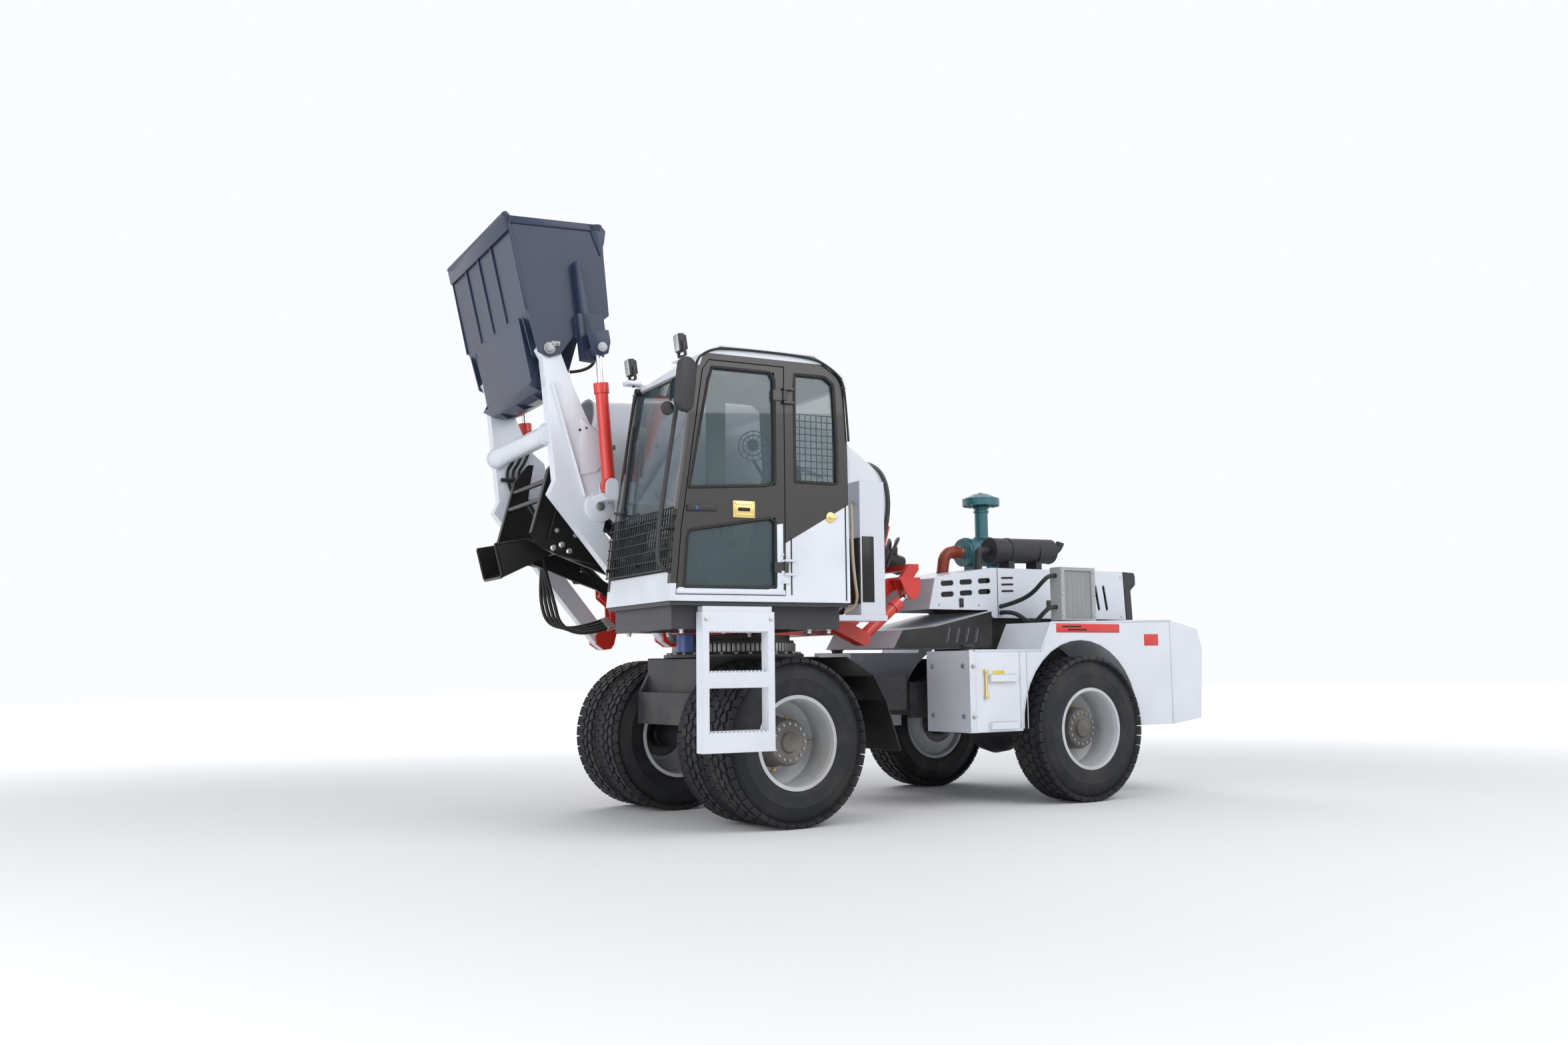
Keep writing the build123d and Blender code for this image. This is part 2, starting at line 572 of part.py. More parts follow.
def gate():
    """The radial gate that closes the funnel: a curved plate on two swing arms."""
    reach = FUNNEL_HALF + 26
    arc = [(GATE_PIN[0] + GATE_RADIUS * math.cos(math.radians(a)), GATE_PIN[1] + GATE_RADIUS * math.sin(math.radians(a)))
           for a in range(-122, -57, 16)]
    plate = None
    for a, b in zip(arc, arc[1:]):
        piece = strap(a, b, 5, CENTRE_Y - reach, CENTRE_Y + reach)
        plate = piece if plate is None else plate + piece
    for side in (-1, 1):
        low, high = span(FUNNEL_HALF + 20, 6, side)
        plate += outline([arc[0], (GATE_PIN[0] - 40, GATE_PIN[1]), (GATE_PIN[0], GATE_PIN[1] + 40),
                          (GATE_PIN[0] + 40, GATE_PIN[1]), arc[-1], arc[2]], low, high)
        plate -= across(GATE_PIN, low - 1, high + 1, GATE_PIN_RADIUS + 0.5)
    return plate


# Drum, its frame and drive

def drum_plane():
    return Plane(origin=(DRUM_SEAM[0], CENTRE_Y, DRUM_SEAM[1]), x_dir=(0, 1, 0),
                 z_dir=(-math.cos(math.radians(DRUM_TILT)), 0, math.sin(math.radians(DRUM_TILT))))


def turned(profile):
    """A solid of revolution about the drum's axis from (distance forward of the seam, radius)."""
    face = Plane.XZ * Polygon(*[(r, s) for s, r in profile], align=None)
    return drum_plane().location * revolve(face, Axis.Z)


def drum():
    wall = SHELL
    outer = [(-130, 0), (-122, 250), (-82, 480), (0, SEAM_RADIUS), (420, DRUM_RADIUS), (1080, DRUM_RADIUS),
             (MOUTH_AT, MOUTH_RADIUS)]
    inner = [(MOUTH_AT, MOUTH_RADIUS - wall), (1080, DRUM_RADIUS - wall), (420, DRUM_RADIUS - wall), (0, SEAM_RADIUS - wall),
             (-72, 480), (-110, 250), (-118, 0)]
    return turned(outer + inner) + turned([(-160, 0), (-160, 150), (-110, 150), (-110, 0)])


def drum_drive():
    return turned([(-168, 0), (-168, 165), (-300, 165), (-330, 120), (-400, 120), (-410, 80), (-600, 80), (-600, 0)])


def drum_frame():
    """Rails and a cross member under the drum, side arms with the cylinder brackets, the drive's mount."""
    frame = None
    for side in (-1, 1):
        low, high = span(FRAME_OFFSET, 28, side)
        rail = outline([(-470, 1570), (-445, 1645), (-390, 1650), (-330, 1600), (500, 1530), (860, 1430), (960, 1400),
                        (960, 1255), (860, 1255), (820, 1340), (500, 1440), (-330, 1500)], low, high)
        rail -= across(FRAME_PIN, low - 1, high + 1, PIN + 0.5)
        frame = rail if frame is None else frame + rail
    reach = DRUM_CYLINDER_OFFSET - 80
    frame += box((860, 960), (CENTRE_Y - reach, CENTRE_Y + reach), (1255, 1335))
    frame += box((1485, 1560), (CENTRE_Y - reach, CENTRE_Y + reach), (1737, 1780))
    for side in (-1, 1):
        low, high = span(reach - 22, 22, side)
        frame += outline([(860, 1260), (860, 1340), (1300, 1670), (1400, 1670), (1475, 1780), (1560, 1780), (1560, 1737),
                          (1500, 1660), (1480, 1590), (1340, 1580), (960, 1280)], low, high)
        for offset in (DRUM_CYLINDER_OFFSET - 52, DRUM_CYLINDER_OFFSET + 52):
            low, high = span(offset, 8, side)
            frame += outline([(1300, 1670), (1480, 1670), (1480, 1560), (1440, 1510), (1400, 1510), (1360, 1550)], low, high)
        low, high = sorted((CENTRE_Y + side * reach, CENTRE_Y + side * (DRUM_CYLINDER_OFFSET + 60)))
        frame += box((1300, 1480), (low, high), (1650, 1670))
    frame += drum_plane().location * Pos(0, 0, -250) * Box(560, 400, 24)
    frame -= turned([(-300, 0), (-300, 168), (-200, 168), (-200, 0)])
    for offset in (-220, 220):
        frame += outline([(1490, 1740), (1560, 1738), (1610, 1765), (1660, 1880), (1640, 1930), (1560, 1800)],
                         CENTRE_Y + offset - 10, CENTRE_Y + offset + 10)
    return frame


def hopper():
    """The discharge hopper's cheeks and floor, on two beams from the platform."""
    body = None
    for side in (-1, 1):
        low, high = span(CHEEK_OFFSET, 6, side)
        cheek = outline([(-1270, 1960), (-1150, 2410), (-1045, 2545), (-1008, 2545), (-1030, 2420), (-1060, 2200), (-940, 2060),
                         (-640, 1880), (-640, 1712), (-1000, 1790), (-1205, 1872)], low, high)
        body = cheek if body is None else body + cheek
        low, high = span(CHEEK_OFFSET - 22, 20, side)
        body += outline([(-1180, 1866), (-1172, 1926), (-1010, 1880), (-470, 1690), (-170, 1550), (-80, 1480), (-80, 1340),
                         (-170, 1340), (-180, 1440), (-330, 1500), (-520, 1620), (-1020, 1800)], low, high)
        body -= across(CHUTE_PIN, low - 1, high + 10, CHUTE_PIN_RADIUS + 0.5)
    body += outline([(-1080, 1934), (-850, 2039), (-856, 2053), (-1086, 1948)], CENTRE_Y - CHEEK_OFFSET, CENTRE_Y + CHEEK_OFFSET)
    return body


def chute():
    """The open trough below the hopper, hinged at its upper end."""
    slope = math.radians(26)
    run = 400
    end = (CHUTE_PIN[0] - run * math.cos(slope), CHUTE_PIN[1] - run * math.sin(slope))
    rise = 225
    top_front = (end[0] - 60, end[1] + rise)
    top_rear = (CHUTE_PIN[0] - 80, CHUTE_PIN[1] + 40)
    trough = None
    for side in (-1, 1):
        low, high = span(TROUGH_HALF - 4, 4, side)
        wall = outline([CHUTE_PIN, end, top_front, (CHUTE_PIN[0] - 190, CHUTE_PIN[1] + 90), top_rear], low, high)
        trough = wall if trough is None else trough + wall
    floor = outline([(CHUTE_PIN[0], CHUTE_PIN[1] - 4), (end[0], end[1] - 4), (end[0], end[1] + 4), (CHUTE_PIN[0], CHUTE_PIN[1] + 4)],
                    CENTRE_Y - TROUGH_HALF, CENTRE_Y + TROUGH_HALF)
    trough += floor
    reach = CHEEK_OFFSET - 6
    trough += across(CHUTE_PIN, CENTRE_Y - reach, CENTRE_Y + reach, CHUTE_PIN_RADIUS)
    return trough


chassis = {}
for end_name, axle_x, tracks in (("front", 0, (INNER_TYRE_Y, OUTER_TYRE_Y)), ("rear", WHEELBASE, (REAR_TYRE_Y,))):
    for side_name, side in (("left", -1), ("right", 1)):
        chassis.update(wheel_nodes(f"{end_name}_{side_name}", axle_x, side, tracks))
chassis["front_axle"] = axle(0, 742)
chassis["rear_axle"] = axle(WHEELBASE, 728)
chassis["front_frame"] = front_frame()
chassis["front_mudguards"] = Compound([front_mudguard(-1), front_mudguard(1)])
chassis["rear_frame"] = rear_frame()
chassis["left_tank"] = side_tank(-1)
chassis["right_tank"] = side_tank(1)
chassis["deck_cover"] = deck_cover()
chassis["engine_hood"] = engine_hood()
chassis["tail_cap"] = tail_cap()
chassis["engine"] = engine()
chassis["muffler"] = muffler()
chassis["air_cleaner"] = air_cleaner()
chassis["intake_hose"] = intake_hose()
chassis["oil_cooler"] = oil_cooler()

upper = {
    "slew_ring": slew_ring(), "platform": platform(), "slew_motor": slew_motor(), "cab_base": cab_base(),
    "cab_shell": cab_shell(), "cab_glass": cab_glass(), "cab_door": cab_door(), "door_glass": door_glass(),
    "seat": seat(), "console": console(), "ladder": ladder(), "service_column": service_column(),
    "boom": boom(), "bucket": bucket(), "bucket_gate": gate(), "drum": drum(), "drum_drive": drum_drive(),
    "drum_frame": drum_frame(), "discharge_hopper": hopper(), "chute": chute(),
}
for name, base, eye, offset, radius, share, rod_start in (
        ("lift", LIFT_BASE, LIFT_EYE, LIFT_OFFSET, 39, 0.86, 180),
        ("tilt", TILT_BASE, TILT_EYE, TILT_OFFSET, 44, 0.75, 260),
        ("drum_cylinder", DRUM_BASE, DRUM_EYE, DRUM_CYLINDER_OFFSET, 42, 0.78, 62)):
    pair = cylinder_pair(base, eye, offset, radius, share, rod_start)
    upper[f"{name}_barrels"], upper[f"{name}_rods"] = pair

slewed = Pos(SLEW_X, 0, 0) * Rot(0, 0, SLEW_AT_REST) * Pos(-SLEW_X, 0, 0)
nodes = dict(chassis)
nodes.update({name: slewed * shape for name, shape in upper.items()})
bounds = Compound([shape for shape in nodes.values()]).bounding_box()
ORIGIN = Vector((bounds.min.X + bounds.max.X) / 2, (bounds.min.Y + bounds.max.Y) / 2, 0)
os.makedirs("parts", exist_ok=True)
for name, shape in nodes.items():
    export_step(Pos(-ORIGIN.X, -ORIGIN.Y, 0) * shape, f"parts/{name}.step")
print("origin", ORIGIN, "size", bounds.size)
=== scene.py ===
import bpy
import math
from mathutils import Matrix, Vector


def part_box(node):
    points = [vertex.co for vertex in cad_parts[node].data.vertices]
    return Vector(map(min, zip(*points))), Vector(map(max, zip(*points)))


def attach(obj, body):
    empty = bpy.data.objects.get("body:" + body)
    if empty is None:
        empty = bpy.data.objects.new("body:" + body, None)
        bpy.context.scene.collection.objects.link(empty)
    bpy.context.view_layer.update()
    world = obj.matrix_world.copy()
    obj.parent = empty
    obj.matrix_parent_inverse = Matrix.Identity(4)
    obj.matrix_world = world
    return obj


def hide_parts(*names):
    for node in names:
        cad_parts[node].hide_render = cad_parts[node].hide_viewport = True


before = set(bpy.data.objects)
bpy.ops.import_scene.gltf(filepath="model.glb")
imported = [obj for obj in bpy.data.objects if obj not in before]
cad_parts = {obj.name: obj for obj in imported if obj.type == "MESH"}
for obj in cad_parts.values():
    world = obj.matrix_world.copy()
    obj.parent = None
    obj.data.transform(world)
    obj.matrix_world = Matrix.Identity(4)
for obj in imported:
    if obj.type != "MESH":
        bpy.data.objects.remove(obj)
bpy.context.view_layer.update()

# Points are written in metres from the ground under the front axle, with the machine straight.
# The platform and all it carries stand slewed about slewX, and placeOf turns them there.
axleLow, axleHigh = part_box("front_axle")
rimLow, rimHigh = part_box("front_left_rims")
groundUnderAxle = Vector(((rimLow.x + rimHigh.x) / 2, (axleLow.y + axleHigh.y) / 2, 0))
slewX = 0.18
slewAtRest = math.radians(-6.2)
chassisPlace = Matrix.Translation(groundUnderAxle)
aboutSlew = Matrix.Translation((slewX, 0, 0))
platformPlace = chassisPlace @ aboutSlew @ Matrix.Rotation(slewAtRest, 4, "Z") @ aboutSlew.inverted()
chassisBodies = ("front_chassis", "rear_chassis", "front_left_wheels", "front_right_wheels",
                 "rear_left_wheel", "rear_right_wheel")
boomCentreY = 0.585
bothSides = (-1, 1)


def placeOf(body):
    return chassisPlace if body in chassisBodies else platformPlace


# The photographed view
cameraPlan = {"lens": 31.62, "sensor": 36.0, "at": (-5.049, -8.409, 1.034), "yaw": 55.99, "pitch": 5.952,
              "roll": -0.607, "clipEnd": 200}


def addCamera(plan):
    yaw, pitch, roll = (math.radians(plan[key]) for key in ("yaw", "pitch", "roll"))
    ahead = Vector((math.cos(pitch) * math.cos(yaw), math.cos(pitch) * math.sin(yaw), math.sin(pitch)))
    right = ahead.cross(Vector((0, 0, 1))).normalized()
    above = right.cross(ahead)
    rolledRight = right * math.cos(roll) + above * math.sin(roll)
    rolledUp = above * math.cos(roll) - right * math.sin(roll)
    bpy.ops.object.camera_add()
    camera = bpy.context.object
    camera.data.lens = plan["lens"]
    camera.data.sensor_width = plan["sensor"]
    camera.data.clip_end = plan["clipEnd"]
    axes = Matrix((rolledRight, rolledUp, -ahead)).transposed().to_4x4()
    camera.matrix_world = Matrix.Translation(groundUnderAxle + Vector(plan["at"])) @ axes
    bpy.context.scene.camera = camera


addCamera(cameraPlan)
print("camera placed")


# A socket that can be written into sums, and the bench that makes every other node
class Wire:
    def __init__(self, bench, socket):
        self.bench = bench
        self.socket = socket

    def join(self, operation, other, swapped=False):
        pair = [other, self] if swapped else [self, other]
        sockets = {index: value for index, value in enumerate(pair) if value is not None}
        return self.bench.node("ShaderNodeMath", {"operation": operation}, sockets).out(0)

    def __add__(self, other): return self.join("ADD", other)
    def __radd__(self, other): return self.join("ADD", other, True)
    def __sub__(self, other): return self.join("SUBTRACT", other)
    def __rsub__(self, other): return self.join("SUBTRACT", other, True)
    def __mul__(self, other): return self.join("MULTIPLY", other)
    def __rmul__(self, other): return self.join("MULTIPLY", other, True)
    def __truediv__(self, other): return self.join("DIVIDE", other)
    def above(self, limit): return self.join("GREATER_THAN", limit)
    def below(self, limit): return self.join("LESS_THAN", limit)
    def least(self, other): return self.join("MINIMUM", other)
    def most(self, other): return self.join("MAXIMUM", other)

    def smooth(self, low, high):
        settings = {"interpolation_type": "SMOOTHSTEP"}
        sockets = {"Value": self, "From Min": low, "From Max": high}
        return self.bench.node("ShaderNodeMapRange", settings, sockets).out(0)

    def between(self, low, high):
        return self.above(low) * self.below(high)


class Made:
    def __init__(self, bench, node):
        self.bench = bench
        self.node = node

    def out(self, name):
        return Wire(self.bench, self.node.outputs[name])


class Bench:
    def __init__(self, name):
        self.material = bpy.data.materials.new(name)
        self.material.use_nodes = True
        self.tree = self.material.node_tree
        self.shader = self.tree.nodes["Principled BSDF"]
        self.objectPoint = self.node("ShaderNodeTexCoord").out("Object")

    def node(self, kind, settings=None, sockets=None):
        node = self.tree.nodes.new(kind)
        for key, value in (settings or {}).items():
            if key == "stops":
                for element, (place, colour) in zip(node.color_ramp.elements, value):
                    element.position, element.color = place, colour
            else:
                setattr(node, key, value)
        for key, value in (sockets or {}).items():
            self.feed(node.inputs[key], value)
        return Made(self, node)

    def feed(self, socket, value):
        if isinstance(value, Wire):
            self.tree.links.new(value.socket, socket)
        else:
            socket.default_value = value

    def set(self, **values):
        for key, value in values.items():
            self.feed(self.shader.inputs[key.replace("_", " ")], value)

    def noise(self, scale, detail=3.0, rough=0.55, point=None):
        return self.node("ShaderNodeTexNoise", {}, {
            "Vector": point or self.objectPoint, "Scale": scale, "Detail": detail, "Roughness": rough}).out(0)

    def blend(self, factor, first, second):
        made = self.node("ShaderNodeMix", {"data_type": "RGBA"})
        self.feed(made.node.inputs[0], factor)
        self.feed(made.node.inputs[6], first if isinstance(first, Wire) else (*first, 1))
        self.feed(made.node.inputs[7], second if isinstance(second, Wire) else (*second, 1))
        return Wire(self, made.node.outputs[2])

    def axes(self, point):
        made = self.node("ShaderNodeSeparateXYZ", {}, {0: point})
        return made.out(0), made.out(1), made.out(2)

    # The point in the straight machine, for patterns that follow the cab
    def platformPoint(self):
        back = platformPlace.inverted()
        return self.node("ShaderNodeMapping", {}, {
            "Vector": self.objectPoint, "Location": back.to_translation(),
            "Rotation": back.to_euler()}).out(0)

    def chassisPoint(self):
        return self.node("ShaderNodeMapping", {}, {
            "Vector": self.objectPoint, "Location": chassisPlace.inverted().to_translation()}).out(0)

    def roundedNormal(self, radius):
        return self.node("ShaderNodeBevel", {"samples": 4}, {"Radius": radius}).out(0)

    def edges(self, rounded):
        normal = self.node("ShaderNodeNewGeometry").out("Normal")
        dot = self.node("ShaderNodeVectorMath", {"operation": "DOT_PRODUCT"},
                        {0: rounded, 1: normal}).out("Value")
        return (1 - dot).smooth(0.01, 0.12)

    def bump(self, height, strength, distance, normal=None):
        sockets = {"Height": height, "Strength": strength, "Distance": distance}
        if normal:
            sockets["Normal"] = normal
        return self.node("ShaderNodeBump", {}, sockets).out(0)

    def fix(self, **values):
        # Numbers that are the same all over the piece, on the shader's own sockets
        for key, value in values.items():
            self.shader.inputs[key.replace("_", " ")].default_value = value
        return self.material


dustColour = (0.36, 0.32, 0.27)


def paintBase(bench, colour, rough, shade=0.88, dust=0.10, chips=0.35, chipColour=(0.16, 0.14, 0.13)):
    # colour is three numbers or a wire; the rest says how worn the coat is
    cloud = bench.noise(1.7, 4)
    fine = bench.noise(38, 3)
    z = bench.axes(bench.objectPoint)[2]
    if isinstance(colour, Wire):
        darker = bench.blend(1 - shade, colour, (0.02, 0.02, 0.02))
    else:
        darker = tuple(value * shade for value in colour)
    base = bench.blend(cloud.smooth(0.35, 0.7), colour, darker)
    film = (1 - z.smooth(0.35, 1.9)) * bench.noise(3.1, 5).smooth(0.36, 0.72) * dust
    base = bench.blend(film, base, dustColour)
    normal = bench.roundedNormal(0.006)
    worn = bench.edges(normal) * fine.smooth(0.55, 0.66) * chips
    base = bench.blend(worn, base, chipColour)
    bench.set(Base_Color=base, Roughness=(rough + cloud * 0.08 + film * 0.5 + worn * 0.25).least(1.0),
              Normal=bench.bump(bench.noise(150, 2), 0.12, 0.0006, normal))


def paint(name, colour, rough=0.32, coat=0.35, gleam=0.5, **wear):
    bench = Bench(name)
    paintBase(bench, colour, rough, **wear)
    return bench.fix(Coat_Weight=coat, Coat_Roughness=0.08, Specular_IOR_Level=gleam)


whiteColour = (0.78, 0.81, 0.87)
blackColour = (0.010, 0.0095, 0.010)
panelBrown = (0.020, 0.0155, 0.015)
whitePaint = paint("white coat", whiteColour, shade=0.95, dust=0.12)
navyPaint = paint("slate navy coat", (0.026, 0.038, 0.078), rough=0.34, coat=0.12, gleam=0.35, dust=0.05,
                  chips=0.55, chipColour=(0.28, 0.29, 0.31))
redPaint = paint("signal red coat", (0.72, 0.035, 0.022), rough=0.30, shade=0.8)
blackPaint = paint("black coat", blackColour, rough=0.34, coat=0.10, gleam=0.3, dust=0.05,
                   chips=0.4, chipColour=(0.13, 0.12, 0.12))
greyPaint = paint("dark grey coat", (0.030, 0.032, 0.038), rough=0.42, coat=0.1, gleam=0.35, dust=0.15)
baseGrey = paint("cab base grey", (0.036, 0.037, 0.042), rough=0.4, coat=0.1, gleam=0.35, dust=0.1)
tealPaint = paint("teal coat", (0.030, 0.165, 0.200), rough=0.34)
bluePaint = paint("motor blue coat", (0.015, 0.075, 0.32), rough=0.34)
silverPaint = paint("wheel silver coat", (0.66, 0.68, 0.70), rough=0.30, dust=0.12)
ironPaint = paint("hub iron", (0.045, 0.042, 0.038), rough=0.55, coat=0.0, gleam=0.35, dust=0.12)
finGrey = paint("fin aluminium", (0.42, 0.43, 0.43), rough=0.45, coat=0.0, chips=0.1)
signRed = paint("sign red", (0.74, 0.03, 0.025), rough=0.4, dust=0.1, chips=0.1)
labelYellow = paint("label yellow", (0.82, 0.55, 0.03), rough=0.4, dust=0.1, chips=0.1)


def metal(name, colour, rough, scratch=0.12):
    bench = Bench(name)
    long = bench.node("ShaderNodeMapping", {}, {"Vector": bench.objectPoint, "Scale": (4, 4, 60)}).out(0)
    streak = bench.noise(18, 4, point=long)
    bench.set(Base_Color=bench.blend(streak.smooth(0.3, 0.8), colour, tuple(value * 0.8 for value in colour)),
              Roughness=rough + streak * scratch, Normal=bench.bump(streak, 0.1, 0.0004))
    return bench.fix(Metallic=1.0)


rodChrome = metal("rod chrome", (0.80, 0.80, 0.82), 0.08)
zincSteel = metal("zinc bolt steel", (0.58, 0.57, 0.54), 0.3)
goldPlate = metal("brass plated steel", (0.80, 0.60, 0.24), 0.24)
bareSteel = metal("scuffed steel", (0.36, 0.36, 0.37), 0.36, 0.3)


def rubber(name, colour, rough, dust):
    bench = Bench(name)
    z = bench.axes(bench.objectPoint)[2]
    patch = bench.noise(5, 5)
    film = patch.smooth(0.42, 0.75) * dust * (1 - z.smooth(0.2, 2.6) * 0.7)
    bench.set(Base_Color=bench.blend(film, colour, dustColour), Roughness=rough + film * 0.3,
              Normal=bench.bump(bench.noise(220, 3) + patch * 0.4, 0.25, 0.0008))
    return bench.fix(Specular_IOR_Level=0.35)


tyreRubber = rubber("tyre rubber", (0.012, 0.013, 0.016), 0.60, 0.06)
hoseRubber = rubber("hose rubber", (0.014, 0.014, 0.015), 0.45, 0.12)
redHose = rubber("red silicone hose", (0.30, 0.055, 0.030), 0.42, 0.1)
# Dark rubber for seals, gutter, wiper and mounts, also used for panel joints and stripe dashes, and as
# painted shade for the hood slots, tapped holes and handle recess
rubberAndPaintedShade = rubber("seal rubber and painted shade", (0.010, 0.010, 0.011), 0.5, 0.05)
creamHose = rubber("cream water hose", (0.55, 0.47, 0.33), 0.5, 0.1)


def plastic(name, colour, rough):
    bench = Bench(name)
    grain = bench.noise(260, 2)
    lighter = tuple(value * 1.25 for value in colour)
    bench.set(Base_Color=bench.blend(bench.noise(4, 3).smooth(0.4, 0.7), colour, lighter),
              Roughness=rough + grain * 0.12,
              Normal=bench.bump(grain, 0.3, 0.0006, bench.roundedNormal(0.004)))
    return bench.material


moulding = plastic("moulded black", (0.020, 0.020, 0.022), 0.45)
consoleGrey = plastic("console grey", (0.085, 0.087, 0.09), 0.5)


def cloth(name, colour):
    bench = Bench(name)
    weave = bench.node("ShaderNodeTexWave", {"wave_type": "BANDS", "bands_direction": "DIAGONAL"},
                       {"Vector": bench.objectPoint, "Scale": 260, "Distortion": 2.5}).out(0)
    thread = tuple(value * 2.1 for value in colour)
    bench.set(Base_Color=bench.blend(weave * 0.5 + bench.noise(9, 3) * 0.3, colour, thread),
              Roughness=0.86, Normal=bench.bump(weave, 0.35, 0.0008))
    return bench.fix(Sheen_Weight=0.25)


seatCloth = cloth("seat cloth", (0.030, 0.031, 0.035))


def glass(name, tint, alpha):
    # A tinted pane: mostly clear shader, with a mirror coat
    bench = Bench(name)
    deeper = tuple(value * 0.85 for value in tint)
    bench.set(Base_Color=bench.blend(bench.noise(1.2, 2).smooth(0.3, 0.8), tint, deeper),
              Roughness=0.03 + bench.noise(6, 4).smooth(0.55, 0.8) * 0.05)
    return bench.fix(Alpha=alpha, IOR=1.5, Specular_IOR_Level=0.9, Coat_Weight=1.0, Coat_Roughness=0.02)


cabPane = glass("cab pane", (0.05, 0.115, 0.135), 0.34)
lampLens = glass("lamp lens", (0.75, 0.78, 0.80), 0.75)
mirrorFace = metal("mirror silver", (0.85, 0.87, 0.88), 0.04, 0.02)


# The cab's two colours: white roof, sill, rear corner and front sides; black round the windows and the door
cabTone = {"dark": (1.53, 2.945), "diagonal": ((-0.10, 1.81), (0.34, 2.06)), "sides": (-1.352, -0.393),
           "front": (1.60, 2.90),
           "lining": ((-0.875, 0.288), (-1.357, -0.388), (1.469, 2.942)), "liningGrey": (0.16, 0.16, 0.165)}


def cabShellPaint(tone):
    bench = Bench("cab shell coats")
    x, y, z = bench.axes(bench.platformPoint())
    (x0, z0), (x1, z1) = tone["diagonal"]
    height = z - z0 - (x - x0) * ((z1 - z0) / (x1 - x0))
    between = y.between(*tone["sides"])
    dark = height.above(0) * z.between(*tone["dark"]) * (1 - between)
    front = between * x.below(0) * z.between(*tone["front"])
    alongX, acrossY, upZ = tone["lining"]
    inside = x.between(*alongX) * y.between(*acrossY) * z.between(*upZ)
    tones = bench.blend(dark.most(front), whiteColour, panelBrown)
    tones = bench.blend(inside, tones, tone["liningGrey"])
    paintBase(bench, tones, 0.34, dust=0.15, chips=0.1)
    return bench.fix(Coat_Weight=0.3)


doorTone = {"sill": 1.50}


def cabDoorPaint(tone):
    bench = Bench("cab door coats")
    z = bench.axes(bench.platformPoint())[2]
    tones = bench.blend(z.below(tone["sill"]), panelBrown, whiteColour)
    paintBase(bench, tones, 0.34, dust=0.1, chips=0.15)
    return bench.fix(Coat_Weight=0.3)


drumTone = {"seam": (1.40, 2.01), "tilt": math.radians(16.5), "rear": (0.05, 0.053, 0.06)}


def drumPaint(tone):
    bench = Bench("drum coats")
    x, y, z = bench.axes(bench.platformPoint())
    seamX, seamZ = tone["seam"]
    ahead = (seamX - x) * math.cos(tone["tilt"]) + (z - seamZ) * math.sin(tone["tilt"])
    tones = bench.blend(ahead.below(-0.004), whiteColour, tone["rear"])
    paintBase(bench, tones, 0.3, dust=0.1, chips=0.1)
    return bench.fix(Coat_Weight=0.4)


def deckCoverPaint(half):
    bench = Bench("deck cover coats")
    y = bench.axes(bench.chassisPoint())[1]
    tones = bench.blend(y.between(-half, half), blackColour, whiteColour)
    paintBase(bench, tones, 0.34, dust=0.2, chips=0.3)
    return bench.material


nodeFinish = {
    "front_axle": greyPaint, "rear_axle": greyPaint, "front_frame": greyPaint, "front_mudguards": blackPaint,
    "rear_frame": greyPaint, "left_tank": whitePaint, "right_tank": whitePaint,
    "deck_cover": deckCoverPaint(0.4285),
    "engine_hood": whitePaint, "tail_cap": baseGrey, "engine": ironPaint, "muffler": moulding,
    "air_cleaner": tealPaint,
    "intake_hose": redHose, "oil_cooler": finGrey, "slew_ring": ironPaint, "platform": redPaint,
    "slew_motor": bluePaint,
    "cab_base": baseGrey, "cab_shell": cabShellPaint(cabTone), "cab_glass": cabPane,
    "cab_door": cabDoorPaint(doorTone),
    "door_glass": cabPane, "seat": seatCloth, "console": consoleGrey, "ladder": whitePaint,
    "service_column": whitePaint,
    "boom": whitePaint, "bucket": navyPaint, "bucket_gate": navyPaint, "drum": drumPaint(drumTone),
    "drum_drive": blackPaint,
    "drum_frame": redPaint, "discharge_hopper": blackPaint, "chute": blackPaint, "lift_barrels": blackPaint,
    "lift_rods": rodChrome, "tilt_barrels": redPaint, "tilt_rods": rodChrome,
    "drum_cylinder_barrels": redPaint,
    "drum_cylinder_rods": rodChrome,
}
for end in ("front", "rear"):
    for side in ("left", "right"):
        nodeFinish[f"{end}_{side}_tyres"] = tyreRubber
        nodeFinish[f"{end}_{side}_rims"] = silverPaint


def dressNode(name, material):
    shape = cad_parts[name]
    shape.data.materials.clear()
    shape.data.materials.append(material)
    for slot in shape.material_slots:
        slot.material = material


for nodeName, finish in nodeFinish.items():
    dressNode(nodeName, finish)
print("nodes dressed", len(nodeFinish))


# Modelling moves used for every piece
def clearPick():
    bpy.ops.object.select_all(action="DESELECT")


def pickOnly(piece):
    clearPick()
    piece.select_set(True)
    bpy.context.view_layer.objects.active = piece


def applyPlace(piece):
    pickOnly(piece)
    bpy.ops.object.transform_apply(location=True, rotation=True, scale=True)


def softenEdges(piece, width, segments=2, angle=35):
    pickOnly(piece)
    bevel = piece.modifiers.new("soften", "BEVEL")
    bevel.width, bevel.segments, bevel.angle_limit = width, segments, math.radians(angle)
    bevel.use_clamp_overlap = True
    bpy.ops.object.modifier_apply(modifier=bevel.name)


def turnFacesOut(piece):
    pickOnly(piece)
    bpy.ops.object.mode_set(mode="EDIT")
    bpy.ops.mesh.select_all(action="SELECT")
    bpy.ops.mesh.remove_doubles(threshold=0.00002)
    bpy.ops.mesh.normals_make_consistent(inside=False)
    bpy.ops.object.mode_set(mode="OBJECT")


def block(low, high, soft=0.004, segments=2):
    clearPick()
    low, high = Vector(low), Vector(high)
    bpy.ops.mesh.primitive_cube_add(size=1, location=(low + high) / 2, scale=high - low)
    piece = bpy.context.object
    applyPlace(piece)
    if soft:
        softenEdges(piece, soft, segments)
    return piece


